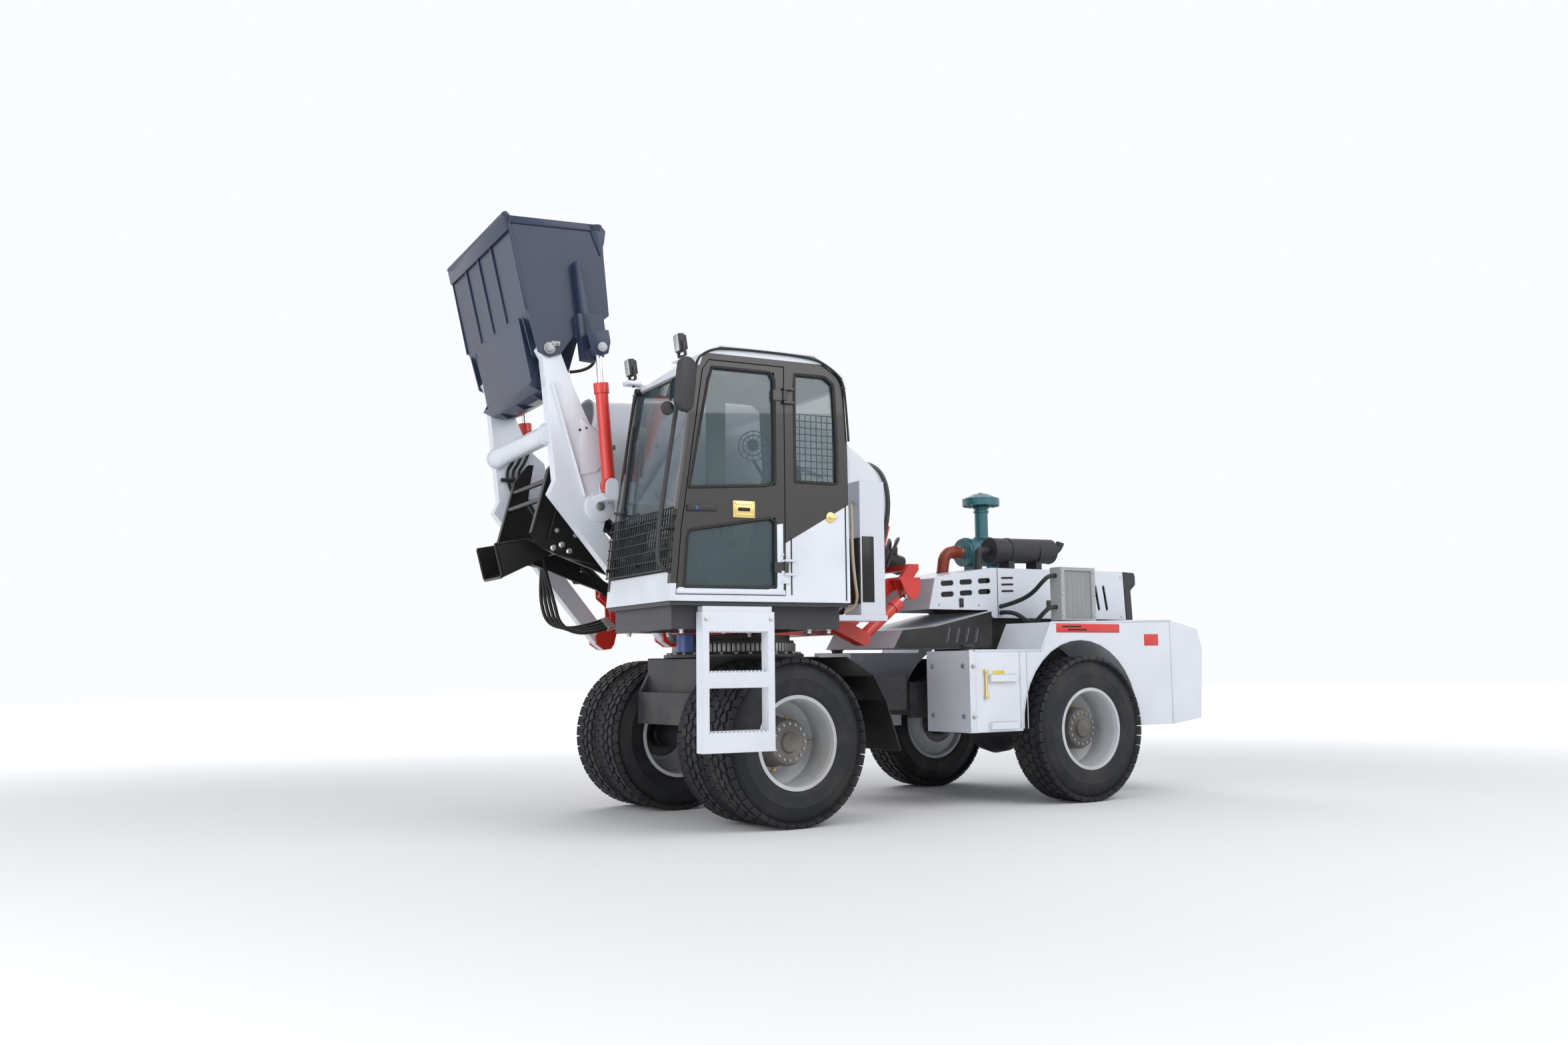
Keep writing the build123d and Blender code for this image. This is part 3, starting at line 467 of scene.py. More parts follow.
def rod(start, end, radius, sides=20, soft=0.0, tip=None):
    clearPick()
    start, end = Vector(start), Vector(end)
    turn = (end - start).to_track_quat("Z", "Y").to_euler()
    place = {"location": (start + end) / 2, "rotation": turn, "depth": (end - start).length,
             "vertices": sides}
    if tip is None:
        bpy.ops.mesh.primitive_cylinder_add(radius=radius, **place)
    else:
        bpy.ops.mesh.primitive_cone_add(radius1=radius, radius2=tip, **place)
    piece = bpy.context.object
    applyPlace(piece)
    if soft:
        softenEdges(piece, soft, 2)
    return piece


def plate(points, nearY, farY, soft=0.003):
    # An (x, z) outline given a thickness along y
    clearPick()
    bpy.ops.mesh.primitive_circle_add(vertices=len(points), fill_type="NGON")
    piece = bpy.context.object
    for vertex, (x, z) in zip(piece.data.vertices, points):
        vertex.co = (x, nearY, z)
    bpy.ops.object.mode_set(mode="EDIT")
    bpy.ops.mesh.select_all(action="SELECT")
    bpy.ops.mesh.extrude_region_move(TRANSFORM_OT_translate={"value": (0, farY - nearY, 0)})
    bpy.ops.object.mode_set(mode="OBJECT")
    turnFacesOut(piece)
    if soft:
        softenEdges(piece, soft)
    return piece


def turnedRing(profile, steps=64, turn=360):
    # A closed (y, radius) profile spun about the y axis
    clearPick()
    bpy.ops.mesh.primitive_circle_add(vertices=len(profile), fill_type="NOTHING")
    piece = bpy.context.object
    for vertex, (y, radius) in zip(piece.data.vertices, profile):
        vertex.co = (radius, y, 0)
    bpy.ops.object.mode_set(mode="EDIT")
    bpy.ops.mesh.select_all(action="SELECT")
    bpy.ops.mesh.spin(steps=steps, angle=math.radians(turn), center=(0, 0, 0), axis=(0, 1, 0))
    bpy.ops.object.mode_set(mode="OBJECT")
    turnFacesOut(piece)
    return piece


def bentTube(points, radius, sides=4, straight=False):
    clearPick()
    bpy.ops.curve.primitive_nurbs_path_add()
    piece = bpy.context.object
    piece.data.splines.clear()
    spline = piece.data.splines.new("NURBS")
    spline.points.add(len(points) - 1)
    for knot, point in zip(spline.points, points):
        knot.co = (*point, 1)
    spline.order_u = 2 if straight else 3
    spline.use_endpoint_u = True
    spline.resolution_u = 8
    piece.data.bevel_depth = radius
    piece.data.bevel_resolution = sides
    piece.data.use_fill_caps = True
    bpy.ops.object.convert(target="MESH")
    return bpy.context.object


def joinAll(pieces):
    clearPick()
    for piece in pieces:
        piece.select_set(True)
    bpy.context.view_layer.objects.active = pieces[0]
    if len(pieces) > 1:
        bpy.ops.object.join()
    return bpy.context.object


def copyTo(master, places):
    # Each copy has its own mesh; the master goes, and the copies become one piece
    copies = []
    for place in places:
        copy = master.copy()
        copy.data = master.data.copy()
        bpy.context.collection.objects.link(copy)
        copy.matrix_world = place @ master.matrix_world
        copies.append(copy)
    bpy.data.objects.remove(master)
    joined = joinAll(copies)
    applyPlace(joined)
    return joined


def facing(point, way):
    # The place of a small part modelled at the origin with its head up, turned to look along way
    return Matrix.Translation(point) @ Vector(way).to_track_quat("Z", "Y").to_matrix().to_4x4()


def hexBolt(radius, height):
    washer = rod((0, 0, -0.001), (0, 0, height * 0.3), radius * 1.25, 16)
    head = rod((0, 0, height * 0.3), (0, 0, height), radius, 6, soft=radius * 0.12)
    return joinAll([washer, head])


def domeBolt(radius, height):
    low = rod((0, 0, -0.001), (0, 0, height * 0.55), radius, 18)
    top = rod((0, 0, height * 0.55), (0, 0, height), radius, 18, tip=radius * 0.55)
    return joinAll([low, top])


def sidePlate(points, y, way, thick, soft=0.003):
    # A plate that stands out from a side face; way is -1 on the photographed side and 1 on the other
    return plate(points, min(y, y + way * thick), max(y, y + way * thick), soft)


def sideBlock(lowX, highX, lowZ, highZ, y, way, thick, soft=0.004, segments=2):
    return block((lowX, min(y, y + way * thick), lowZ), (highX, max(y, y + way * thick), highZ), soft,
                 segments)


def oblong(lowX, highX, lowZ, highZ):
    return [(lowX, lowZ), (lowX, highZ), (highX, highZ), (highX, lowZ)]


def ringAt(profile, steps, place):
    ring = turnedRing(profile, steps)
    ring.matrix_world = place
    applyPlace(ring)
    return ring


def lengthwise(x, y, z):
    # The place of a ring whose axis runs along the machine
    return Matrix.Translation((x, y, z)) @ Matrix.Rotation(math.radians(90), 4, "Z")


def boltRow(bolt, points, way):
    return copyTo(bolt, [facing(point, way) for point in points])


def boltSides(bolt, points):
    # Bolts on both sides of the machine, each looking outward
    return copyTo(bolt, [facing((x, y, z), (0, math.copysign(1, y), 0)) for x, y, z in mirrorRows(points)])


def settle(piece, name, body, material, angle=32):
    # Joins the parts if there are more, and puts the piece on its body with its slot and finish
    if isinstance(piece, list):
        piece = joinAll(piece)
    piece.matrix_world = placeOf(body) @ piece.matrix_world
    applyPlace(piece)
    bpy.ops.object.shade_smooth_by_angle(angle=math.radians(angle))
    piece.name = name
    piece.data.materials.clear()
    piece.data.materials.append(material)
    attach(piece, body)
    return piece


def mirrorRows(points):
    return [point for x, y, z in points for point in ((x, y, z), (x, -y, z))]


# Tyres: a spun carcass with rings on its wall, and five rows of blocks
tyreSizes = {"outer": 0.5425, "groove": 0.013, "width": 0.30, "bead": 0.292, "around": 44, "lugDepth": 0.030,
             "wheelBase": 2.684, "tracks": {"front": (0.593, 0.920), "rear": (0.900,)}}
blockRows = (
    # y, width, length along the tread, twist, stagger, lean
    (-0.124, 0.044, 0.069, 0, 0.0, 28),
    (-0.066, 0.052, 0.060, 20, 0.5, 4),
    (0.000, 0.044, 0.062, -18, 0.0, 0),
    (0.066, 0.052, 0.060, 20, 0.5, -4),
    (0.124, 0.044, 0.069, 0, 0.0, -28),
)


def modelTyre(sizes):
    half, crown = sizes["width"] / 2, sizes["outer"] - sizes["groove"]
    wall = [
        (half - 0.022, sizes["bead"]), (half - 0.005, 0.325), (half - 0.003, 0.334), (half, 0.345),
        (half - 0.001, 0.405),
        (half + 0.001, 0.410), (half - 0.002, 0.416), (half - 0.007, 0.468), (half - 0.011, 0.474),
        (half - 0.022, 0.508),
        (half - 0.046, crown - 0.004), (half - 0.075, crown),
    ]
    foot = (half - 0.045, sizes["bead"] - 0.004)
    profile = [(-y, radius) for y, radius in wall] + wall[::-1] + [foot, (-foot[0], foot[1])]
    parts = [turnedRing(profile, 72)]
    step = math.tau / sizes["around"]
    for y, width, length, twist, stagger, lean in blockRows:
        lug = block((-sizes["lugDepth"], -width / 2, -length / 2), (0, width / 2, length / 2), soft=0.003,
                    segments=1)
        drop = 0.009 if abs(y) > 0.1 else 0.001
        seat = Matrix.Translation((sizes["outer"] - drop, y, 0)) @ Matrix.Rotation(math.radians(lean), 4, "Z")
        seat = seat @ Matrix.Rotation(math.radians(twist), 4, "X")
        turns = [Matrix.Rotation(step * (i + stagger), 4, "Y") for i in range(sizes["around"])]
        parts.append(copyTo(lug, [turn @ seat for turn in turns]))
    return joinAll(parts)


def everyWheel():
    for end, axleX in (("front", 0), ("rear", tyreSizes["wheelBase"])):
        for side, sign in (("left", -1), ("right", 1)):
            yield end, f"{end}_{side}", sign, axleX, f"{end}_{side}_wheel" + ("s" if end == "front" else "")


tyreMaster = modelTyre(tyreSizes)
for end, corner, sign, axleX, body in everyWheel():
    copies = []
    for index, track in enumerate(tyreSizes["tracks"][end]):
        copy = tyreMaster.copy()
        copy.data = tyreMaster.data.copy()
        bpy.context.collection.objects.link(copy)
        spin = Matrix.Rotation(0.03 + 0.05 * index + 0.4 * sign, 4, "Y")
        copy.matrix_world = Matrix.Translation((axleX, sign * track, tyreSizes["outer"])) @ spin
        applyPlace(copy)
        copies.append(copy)
    tyre = settle(copies, f"{corner}_treaded_tyres", body, tyreRubber, 40)
    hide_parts(f"{corner}_tyres")
bpy.data.objects.remove(tyreMaster)
print("tyres treaded")


# Wheel nuts, hub cover bolts and the valve, laid out round each hub; the hub is dark and the rim silver
hubPlan = {"coverRadius": 0.118, "coverBolts": 16, "nutRadius": 0.181, "nuts": 10, "coverOut": 0.042,
           "discIn": 0.153,
           "darkRadius": 0.1685, "dark": (0.070, 0.066, 0.062), "rim": (0.62, 0.64, 0.67)}


def wheelPaint(axleX, plan):
    bench = Bench("wheel coats")
    x, y, z = bench.axes(bench.chassisPoint())
    away = (x - axleX) * (x - axleX) + (z - tyreSizes["outer"]) * (z - tyreSizes["outer"])
    tones = bench.blend(away.below(plan["darkRadius"] ** 2), plan["rim"], plan["dark"])
    paintBase(bench, tones, 0.34, dust=0.45, chips=0.2)
    return bench.material


def hubRing(axleX, y, sign, radius, count, phase):
    turns = [math.tau * (i + phase) / count for i in range(count)]
    return [facing((axleX + math.cos(turn) * radius, y, tyreSizes["outer"] + math.sin(turn) * radius),
                   (0, sign, 0)) for turn in turns]


wheelCoats = {end: wheelPaint(axleX, hubPlan)
              for end, axleX in (("front", 0), ("rear", tyreSizes["wheelBase"]))}
for end, corner, sign, axleX, body in everyWheel():
    dressNode(f"{corner}_rims", wheelCoats[end])
    outerTrack = tyreSizes["tracks"][end][-1]
    coverY = sign * (outerTrack + hubPlan["coverOut"])
    discY = sign * (outerTrack - hubPlan["discIn"])
    bolts = hubRing(axleX, coverY, sign, hubPlan["coverRadius"], hubPlan["coverBolts"], 0)
    settle(copyTo(hexBolt(0.009, 0.010), bolts), f"{corner}_hub_bolts", body, bareSteel)
    nuts = hubRing(axleX, discY, sign, hubPlan["nutRadius"], hubPlan["nuts"], 0.5)
    settle(copyTo(hexBolt(0.012, 0.026), nuts), f"{corner}_wheel_nuts", body, goldPlate)
    valve = rod((axleX + 0.215, discY + sign * 0.06, tyreSizes["outer"]),
                (axleX + 0.25, discY + sign * 0.13, tyreSizes["outer"] + 0.01), 0.005, 10)
    settle(valve, f"{corner}_valve", body, zincSteel)
print("wheels bolted")


# Cab: glass seals, wire guards, handrail, mirrors, lamps, wiper, handle, locks, roof cap and linings
cabPlan = {"left": -1.400, "right": -0.345, "skin": -1.398, "frontLow": (-0.917, 1.43),
           "frontMid": (-0.875, 1.88),
           "frontTop": (-0.725, 2.87)}


def windshieldX(z):
    (lowX, lowZ), (midX, midZ), (topX, topZ) = (cabPlan[key] for key in ("frontLow", "frontMid", "frontTop"))
    if z < midZ:
        return lowX + (midX - lowX) * (z - lowZ) / (midZ - lowZ)
    return midX + (topX - midX) * (z - midZ) / (topZ - midZ)


def byShield(off, y, z, up=0.0):
    # A point at the windshield's slope at height z; off is how far behind it
    return (windshieldX(z) + off, y, z + up)


windowFrames = (
    ("upper", "door", [(-0.785, 2.11), (-0.64, 2.86), (-0.20, 2.86), (-0.20, 2.15)]),
    ("lower", "door", [(-0.82, 1.51), (-0.795, 1.85), (-0.20, 1.95), (-0.20, 1.51)]),
    ("quarter", "upper_frame", [(-0.06, 2.18), (-0.06, 2.865), (0.165, 2.865), (0.225, 2.82), (0.245, 2.44),
                                (0.245, 2.18)]),
)
for name, body, corners in windowFrames:
    loop = [(x, cabPlan["left"] + 0.004, z) for x, z in corners + corners[:1]]
    seal = bentTube(loop, 0.011, 3, straight=True)
    settle(seal, f"{name}_window_seal", body, rubberAndPaintedShade)
shieldCorners = ((-1.325, 1.615), (-1.325, 2.845), (-0.42, 2.845), (-0.42, 1.615), (-1.325, 1.615))
shieldSeal = bentTube([byShield(0.026, y, z) for y, z in shieldCorners], 0.014, 3, straight=True)
settle(shieldSeal, "windshield_seal", "upper_frame", rubberAndPaintedShade)

guardPlan = {"z": (1.615, 1.985), "y": (-1.385, -0.36), "wire": 0.0045, "columns": 26, "rows": 7}
quarterPlan = {"x": (-0.045, 0.235), "z": (2.195, 2.62), "wire": 0.0032, "columns": 7, "rows": 10}


def wireGuard(plan):
    wires = []
    (lowZ, highZ), (nearY, farY) = plan["z"], plan["y"]
    for i in range(plan["columns"] + 1):
        y = nearY + (farY - nearY) * i / plan["columns"]
        wires.append(rod(byShield(-0.018, y, lowZ), byShield(-0.018, y, highZ), plan["wire"], 6))
    for i in range(plan["rows"]):
        z = lowZ + (highZ - lowZ) * i / (plan["rows"] - 1)
        wires.append(rod(byShield(-0.024, nearY, z), byShield(-0.024, farY, z), plan["wire"] * 1.2, 6))
        if i in (1, 4):
            wires.append(rod(byShield(-0.024, nearY, z), byShield(0.006, nearY - 0.008, z), 0.006, 6))
    for y in (nearY, farY, (nearY + farY) / 2):
        for z in (lowZ + 0.05, highZ - 0.05):
            wires.append(rod(byShield(-0.026, y, z), byShield(0.012, y, z), 0.009, 8))
    return joinAll(wires)


def quarterGuard(plan):
    wires = []
    (lowX, highX), (lowZ, highZ) = plan["x"], plan["z"]
    for i in range(plan["columns"] + 1):
        x = lowX + (highX - lowX) * i / plan["columns"]
        wires.append(rod((x, -1.365, lowZ), (x, -1.365, highZ), plan["wire"], 6))
    for i in range(plan["rows"] + 1):
        z = lowZ + (highZ - lowZ) * i / plan["rows"]
        wires.append(rod((lowX - 0.025, -1.360, z), (highX + 0.02, -1.360, z), plan["wire"], 6))
    return joinAll(wires)


settle(wireGuard(guardPlan), "windshield_guard", "upper_frame", blackPaint)
settle(quarterGuard(quarterPlan), "quarter_guard", "upper_frame", blackPaint)


def cabHandrail(y, radius):
    route = [byShield(0.012, y, 2.80), byShield(-0.06, y, 2.80, 0.01), byShield(-0.075, y, 2.70),
             byShield(-0.080, y, 2.2),
             byShield(-0.080, y, 1.9), byShield(-0.075, y, 1.70), byShield(-0.06, y - 0.01, 1.63, -0.01),
             byShield(0.01, y - 0.03, 1.62, -0.02)]
    clips = boltRow(domeBolt(0.016, 0.02), [byShield(-0.055, y, z) for z in (1.66, 1.86)], (-1, 0, 0))
    stays = [rod(byShield(-0.075, y, z), byShield(0.01, y, z), 0.009, 10) for z in (1.86, 2.62)]
    return joinAll([bentTube(route, radius, 5), clips, *stays])


settle(cabHandrail(-1.345, 0.014), "front_handrail", "upper_frame", moulding)

# The white roof skin follows the roof line with a rounded edge and a little overhang
roofEdge = [(-0.735, 2.86), (-0.71, 2.935), (-0.58, 3.002), (0.085, 3.002), (0.305, 2.876), (0.318, 2.80),
            (0.292, 2.80),
            (0.282, 2.868), (0.078, 2.987), (-0.578, 2.987), (-0.695, 2.922), (-0.715, 2.86)]
overhang = 0.016
roofSkin = plate(roofEdge, cabPlan["left"] - overhang, cabPlan["right"] + overhang, soft=0)
softenEdges(roofSkin, 0.006, 2, 50)
settle(roofSkin, "roof_skin", "upper_frame", whitePaint, 50)
gutterLine = [(-0.745, 2.84), (-0.735, 2.90), (-0.66, 2.955), (-0.56, 2.985), (0.07, 2.985), (0.20, 2.925),
              (0.29, 2.855),
              (0.31, 2.70), (0.325, 2.46)]
gutter = bentTube([(x, -1.412, z) for x, z in gutterLine], 0.008, 3)
settle(gutter, "roof_gutter", "upper_frame", rubberAndPaintedShade)

mirrorPlan = {"main": (-0.85, -1.50, 2.715), "mainHalf": (0.070, 0.170), "turn": (20, 7),
              "round": (-0.955, -1.47, 2.565),
              "roundRadius": 0.042, "faceRadius": 0.045, "faceStretch": 2.6}
aside, tipped = (math.radians(angle) for angle in mirrorPlan["turn"])
mirrorPlace = Matrix.Translation(mirrorPlan["main"])
mirrorPlace = mirrorPlace @ Matrix.Rotation(aside, 4, "Z") @ Matrix.Rotation(tipped, 4, "Y")


def mainMirror(plan):
    x, y, z = plan["main"]
    half, tall = plan["mainHalf"]
    outline = []
    for i in range(24):
        turn = math.tau * i / 24
        lift = math.copysign(tall - half, math.sin(turn)) if abs(math.sin(turn)) > 0.01 else 0
        outline.append((math.cos(turn) * half, math.sin(turn) * half + lift))
    shell = plate(outline, -0.022, 0.022, soft=0.012)
    shell.matrix_world = mirrorPlace
    applyPlace(shell)
    arm = bentTube([(x + 0.01, y + 0.02, z + 0.10), (x + 0.04, y + 0.06, z + 0.12), (-0.755, -1.405, 2.80)],
                   0.010, 4)
    lowArm = bentTube([(x + 0.01, y + 0.02, z - 0.07), (x + 0.05, y + 0.08, z - 0.10), (-0.80, -1.405, 2.56)],
                      0.010, 4)
    return joinAll([shell, arm, lowArm])


def roundMirror(plan):
    x, y, z = plan["round"]
    dish = rod((x, y - 0.018, z), (x, y + 0.012, z), plan["roundRadius"], 28, soft=0.010)
    hoop = [(x + 0.02, y, z + 0.05), (x + 0.02, y + 0.01, z + 0.16), (x + 0.07, y + 0.03, z + 0.20),
            (x + 0.10, y + 0.07, z + 0.16), (-0.80, -1.40, z + 0.06)]
    return joinAll([dish, bentTube(hoop, 0.008, 4)])


settle(mainMirror(mirrorPlan), "main_mirror_shell", "upper_frame", moulding, 50)
settle(roundMirror(mirrorPlan), "round_mirror_shell", "upper_frame", moulding, 50)
face = rod((0, 0.0225, 0), (0, 0.0255, 0), mirrorPlan["faceRadius"], 28)
face.matrix_world = mirrorPlace @ Matrix.Diagonal((1, 1, mirrorPlan["faceStretch"], 1))
settle(face, "main_mirror_face", "upper_frame", mirrorFace)

lampPlan = {"places": ((-0.70, -1.10, 3.065), (-0.765, -0.42, 3.035)), "half": (0.035, 0.0425, 0.0575),
            "lean": -8}


def workLamp(half):
    deep, wide, tall = half
    housing = block((-deep, -wide, -tall), (0.01, wide, tall), soft=0.010, segments=3)
    edges = [0.012 * i - wide for i in range(6)]
    fins = [block((0.008, y + 0.008, -tall + 0.012), (0.024, y + 0.012, tall - 0.012), soft=0.001)
            for y in edges]
    yoke = block((-0.016, -wide - 0.008, -tall - 0.03), (0.004, wide + 0.008, -tall - 0.024), soft=0.001)
    ears = [block((-0.016, y - 0.004, -tall - 0.03), (0.004, y + 0.004, 0.006), soft=0.001)
            for y in (-wide - 0.006, wide + 0.006)]
    stem = rod((-0.006, 0, -tall - 0.075), (-0.006, 0, -tall - 0.02), 0.010, 12)
    return joinAll([housing, *fins, yoke, *ears, stem])


lean = Matrix.Rotation(math.radians(lampPlan["lean"]), 4, "Y")
lampTurns = [Matrix.Translation(at) @ lean for at in lampPlan["places"]]
settle(copyTo(workLamp(lampPlan["half"]), lampTurns), "work_lamp_housings", "upper_frame",
       moulding)
deep, wide, tall = lampPlan["half"]
lens = block((-deep - 0.003, -wide + 0.007, -tall + 0.007), (-deep + 0.001, wide - 0.007, tall - 0.007),
             soft=0.002)
settle(copyTo(lens, lampTurns), "work_lamp_lenses", "upper_frame", lampLens)
shoes = [block((x - 0.05, y - 0.05, 2.94), (x + 0.05, y + 0.05, z - 0.122), soft=0.006)
         for x, y, z in lampPlan["places"]]
settle(shoes, "lamp_feet", "upper_frame", whitePaint)

wiperY = -0.47
wiperParts = [
    bentTube([byShield(-0.02, wiperY, 2.86), byShield(-0.045, wiperY, 2.70),
              byShield(-0.04, wiperY - 0.03, 2.30)], 0.009, 4),
    bentTube([byShield(-0.012, wiperY - 0.015, 2.62), byShield(-0.012, wiperY - 0.03, 2.3),
              byShield(-0.012, wiperY - 0.05, 2.02)], 0.010, 3),
    rod(byShield(-0.035, wiperY, 2.86), byShield(0.01, wiperY, 2.86), 0.024, 20, soft=0.004),
    bentTube([byShield(-0.02, wiperY + 0.09, 2.06, -0.01), byShield(-0.03, wiperY - 0.02, 2.04, -0.01),
              byShield(-0.02, wiperY - 0.12, 2.03, 0.01)], 0.010, 3),
]
settle(wiperParts, "wiper", "upper_frame", rubberAndPaintedShade)

handlePlan = {"at": (-0.42, 1.99), "half": (0.075, 0.052)}


def doorHandle(plan):
    (x, z), (wide, tall) = plan["at"], plan["half"]
    rimPlate = plate(oblong(x - wide, x + wide, z - tall, z + tall), -1.407, cabPlan["skin"], soft=0.003)
    bars = [block((x - wide * 0.8, -1.412, barZ - 0.004), (x + wide * 0.8, -1.405, barZ + 0.004), soft=0.002)
            for barZ in (z - tall * 0.62, z + tall * 0.62)]
    corners = [(x + way * wide * 0.84, -1.407, z + up * tall * 0.76) for way in bothSides for up in bothSides]
    return joinAll([rimPlate, *bars, boltRow(domeBolt(0.006, 0.005), corners, (0, -1, 0))])


# The handle's finger recess is a dark plate on the handle: painted shade
def handleRecessShade(plan):
    (x, z), (wide, tall) = plan["at"], plan["half"]
    left = [(x - wide * 0.5, z - tall * 0.22), (x - wide * 0.58, z), (x - wide * 0.5, z + tall * 0.22)]
    right = [(x + wide * 0.5, z + tall * 0.22), (x + wide * 0.58, z), (x + wide * 0.5, z - tall * 0.22)]
    return plate(left + right, -1.4095, -1.4055, soft=0.001)


settle(doorHandle(handlePlan), "door_handle_plate", "door", goldPlate)
settle(handleRecessShade(handlePlan), "door_handle_recess_shade", "door", rubberAndPaintedShade)
latch = plate([(-0.80, 1.965), (-0.80, 2.005), (-0.60, 2.012), (-0.60, 1.972)], -1.412, cabPlan["skin"],
              soft=0.005)
settle(latch, "door_latch_bar", "door", moulding)
latchKnob = rod((-0.74, -1.418, 1.985), (-0.74, -1.408, 1.985), 0.012, 20, soft=0.003)
settle(latchKnob, "door_latch_button", "door", bluePaint)
quarterLock = [rod((0.19, -1.408, 1.965), (0.19, cabPlan["skin"], 1.965), 0.034, 24, soft=0.004),
               block((0.185, -1.414, 1.958), (0.235, -1.406, 1.970), soft=0.002),
               rod((0.19, -1.418, 1.965), (0.19, -1.404, 1.965), 0.012, 16, soft=0.002)]
settle(quarterLock, "quarter_lock", "upper_frame", goldPlate)

# The white strip on the door's rear and lower edge, clear of the hinge, and the panel joints behind it
stripEdge = [(-0.196, 1.512), (-0.196, 1.905), (-0.150, 1.913), (-0.150, 1.474), (-0.86, 1.474),
             (-0.855, 1.507), (-0.196, 1.507)]
settle(plate(stripEdge, -1.4035, cabPlan["skin"], soft=0.001), "door_white_edge", "door",
       whitePaint)
panelGaps = [block((-0.096, -1.4025, 1.47), (-0.088, cabPlan["skin"], 1.83), soft=0),
             block((0.296, -1.4025, 1.44), (0.304, cabPlan["skin"], 2.05), soft=0)]
settle(panelGaps, "quarter_panel_gaps", "upper_frame", rubberAndPaintedShade)
strap = block((-0.166, -1.409, 1.54), (-0.10, -1.4, 1.62), soft=0.003)
strapBolts = boltRow(domeBolt(0.007, 0.006), [(-0.155, -1.409, z) for z in (1.56, 1.60, 1.68, 1.72)],
                     (0, -1, 0))
settle([strap, strapBolts], "lower_strap_hinge", "door", whitePaint)
eyeBolt = bentTube([(-0.02, -0.9, 2.99), (-0.02, -0.9, 3.03), (-0.005, -0.9, 3.05), (0.01, -0.9, 3.03),
                    (0.01, -0.9, 2.99)], 0.006, 4)
settle(eyeBolt, "roof_lifting_eye", "upper_frame", zincSteel)

# Inside: seat with cushions, fan, ceiling lamp and levers
seatPlan = {"middle": -0.872, "cushion": ((-0.40, 0.09), (1.64, 1.775)),
            "back": ((0.0, 0.11), (1.775, 2.355)),
            "bolster": ((-0.02, 0.09), (1.80, 2.25)), "backLean": 0.12}


def cushion(low, high, lean=0.0):
    # A box swollen at its middle: its corners and edges draw in
    pad = block(low, high, soft=0)
    pickOnly(pad)
    bpy.ops.object.mode_set(mode="EDIT")
    bpy.ops.mesh.select_all(action="SELECT")
    bpy.ops.mesh.subdivide(number_cuts=4)
    bpy.ops.object.mode_set(mode="OBJECT")
    middle = (Vector(low) + Vector(high)) / 2
    half = (Vector(high) - Vector(low)) / 2
    for vertex in pad.data.vertices:
        away = [(vertex.co[i] - middle[i]) / half[i] for i in range(3)]
        for i in range(3):
            one, other = (away[j] for j in range(3) if j != i)
            squeeze = 1 - 0.05 * one ** 2 * other ** 2 - 0.025 * (one ** 4 + other ** 4)
            vertex.co[i] = middle[i] + away[i] * half[i] * squeeze
        vertex.co.x += lean * (vertex.co.z - low[2])
    smooth = pad.modifiers.new("round", "SUBSURF")
    smooth.levels = smooth.render_levels = 2
    bpy.ops.object.modifier_apply(modifier=smooth.name)
    return pad


def cabSeat(plan):
    y, lean = plan["middle"], plan["backLean"]
    (x0, x1), (z0, z1) = plan["cushion"]
    base = cushion((x0, y - 0.24, z0), (x1, y + 0.24, z1))
    (x0, x1), (z0, z1) = plan["back"]
    back = cushion((x0, y - 0.23, z0), (x1, y + 0.23, z1), lean)
    (x0, x1), (z0, z1) = plan["bolster"]
    bolsters = [cushion((x0, at - 0.035, z0), (x1, at + 0.035, z1), lean) for at in (y - 0.20, y + 0.20)]
    stand = block((-0.33, y - 0.20, 1.471), (0.06, y + 0.20, 1.645), soft=0.012)
    return joinAll([base, back, *bolsters, stand])


driverSeat = settle(cabSeat(seatPlan), "driver_seat", "upper_frame", seatCloth, 60)
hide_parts("seat")

fanPlan = {"at": (-0.26, -1.22, 2.42), "hoops": ((0.095, 0.0), (0.065, 0.022), (0.035, 0.03)), "spokes": 12,
           "turn": 150}


def cabFan(plan):
    x, y, z = plan["at"]
    hoops = [turnedRing([(out - 0.004, radius - 0.003), (out + 0.004, radius - 0.003),
                         (out + 0.004, radius + 0.003),
                         (out - 0.004, radius + 0.003)], 28) for radius, out in plan["hoops"]]
    turns = [math.tau * i / plan["spokes"] for i in range(plan["spokes"])]
    spokes = [rod((0.03 * math.cos(t), 0.03, 0.03 * math.sin(t)),
                  (0.095 * math.cos(t), 0.0, 0.095 * math.sin(t)), 0.0025, 6)
              for t in turns]
    hubCap = rod((0, 0.02, 0), (0, 0.05, 0), 0.03, 20, soft=0.006)
    fan = joinAll([*hoops, *spokes, hubCap])
    fan.matrix_world = Matrix.Translation((x, y, z)) @ Matrix.Rotation(math.radians(plan["turn"]), 4, "Z")
    applyPlace(fan)
    stem = rod((x, y, z - 0.09), (x + 0.10, y - 0.06, z - 0.30), 0.010, 10)
    return joinAll([fan, stem])


settle(cabFan(fanPlan), "cab_fan", "upper_frame", moulding)
domeLamp = block((-0.50, -1.02, 2.915), (-0.32, -0.90, 2.941), soft=0.010, segments=3)
settle(domeLamp, "ceiling_lamp", "upper_frame", lampLens)
stems = [rod((x, -0.48, 1.90), (x - 0.03, -0.50, 2.04), 0.007, 10) for x in (-0.20, -0.13, -0.06)]
knobs = [rod((x - 0.032, -0.501, 2.035), (x - 0.04, -0.505, 2.08), 0.020, 16, soft=0.008)
         for x in (-0.20, -0.13, -0.06)]
settle(stems + knobs, "cab_levers", "upper_frame", moulding)
print("cab dressed")


# Boom: gussets, pins with lock plates, pipes and hoses
armPlan = {"inner": 0.665, "outer": 0.715, "bucket": 0.735, "lug": 0.855}
sideY = {(name, way): boomCentreY + way * reach for name, reach in armPlan.items() for way in bothSides}


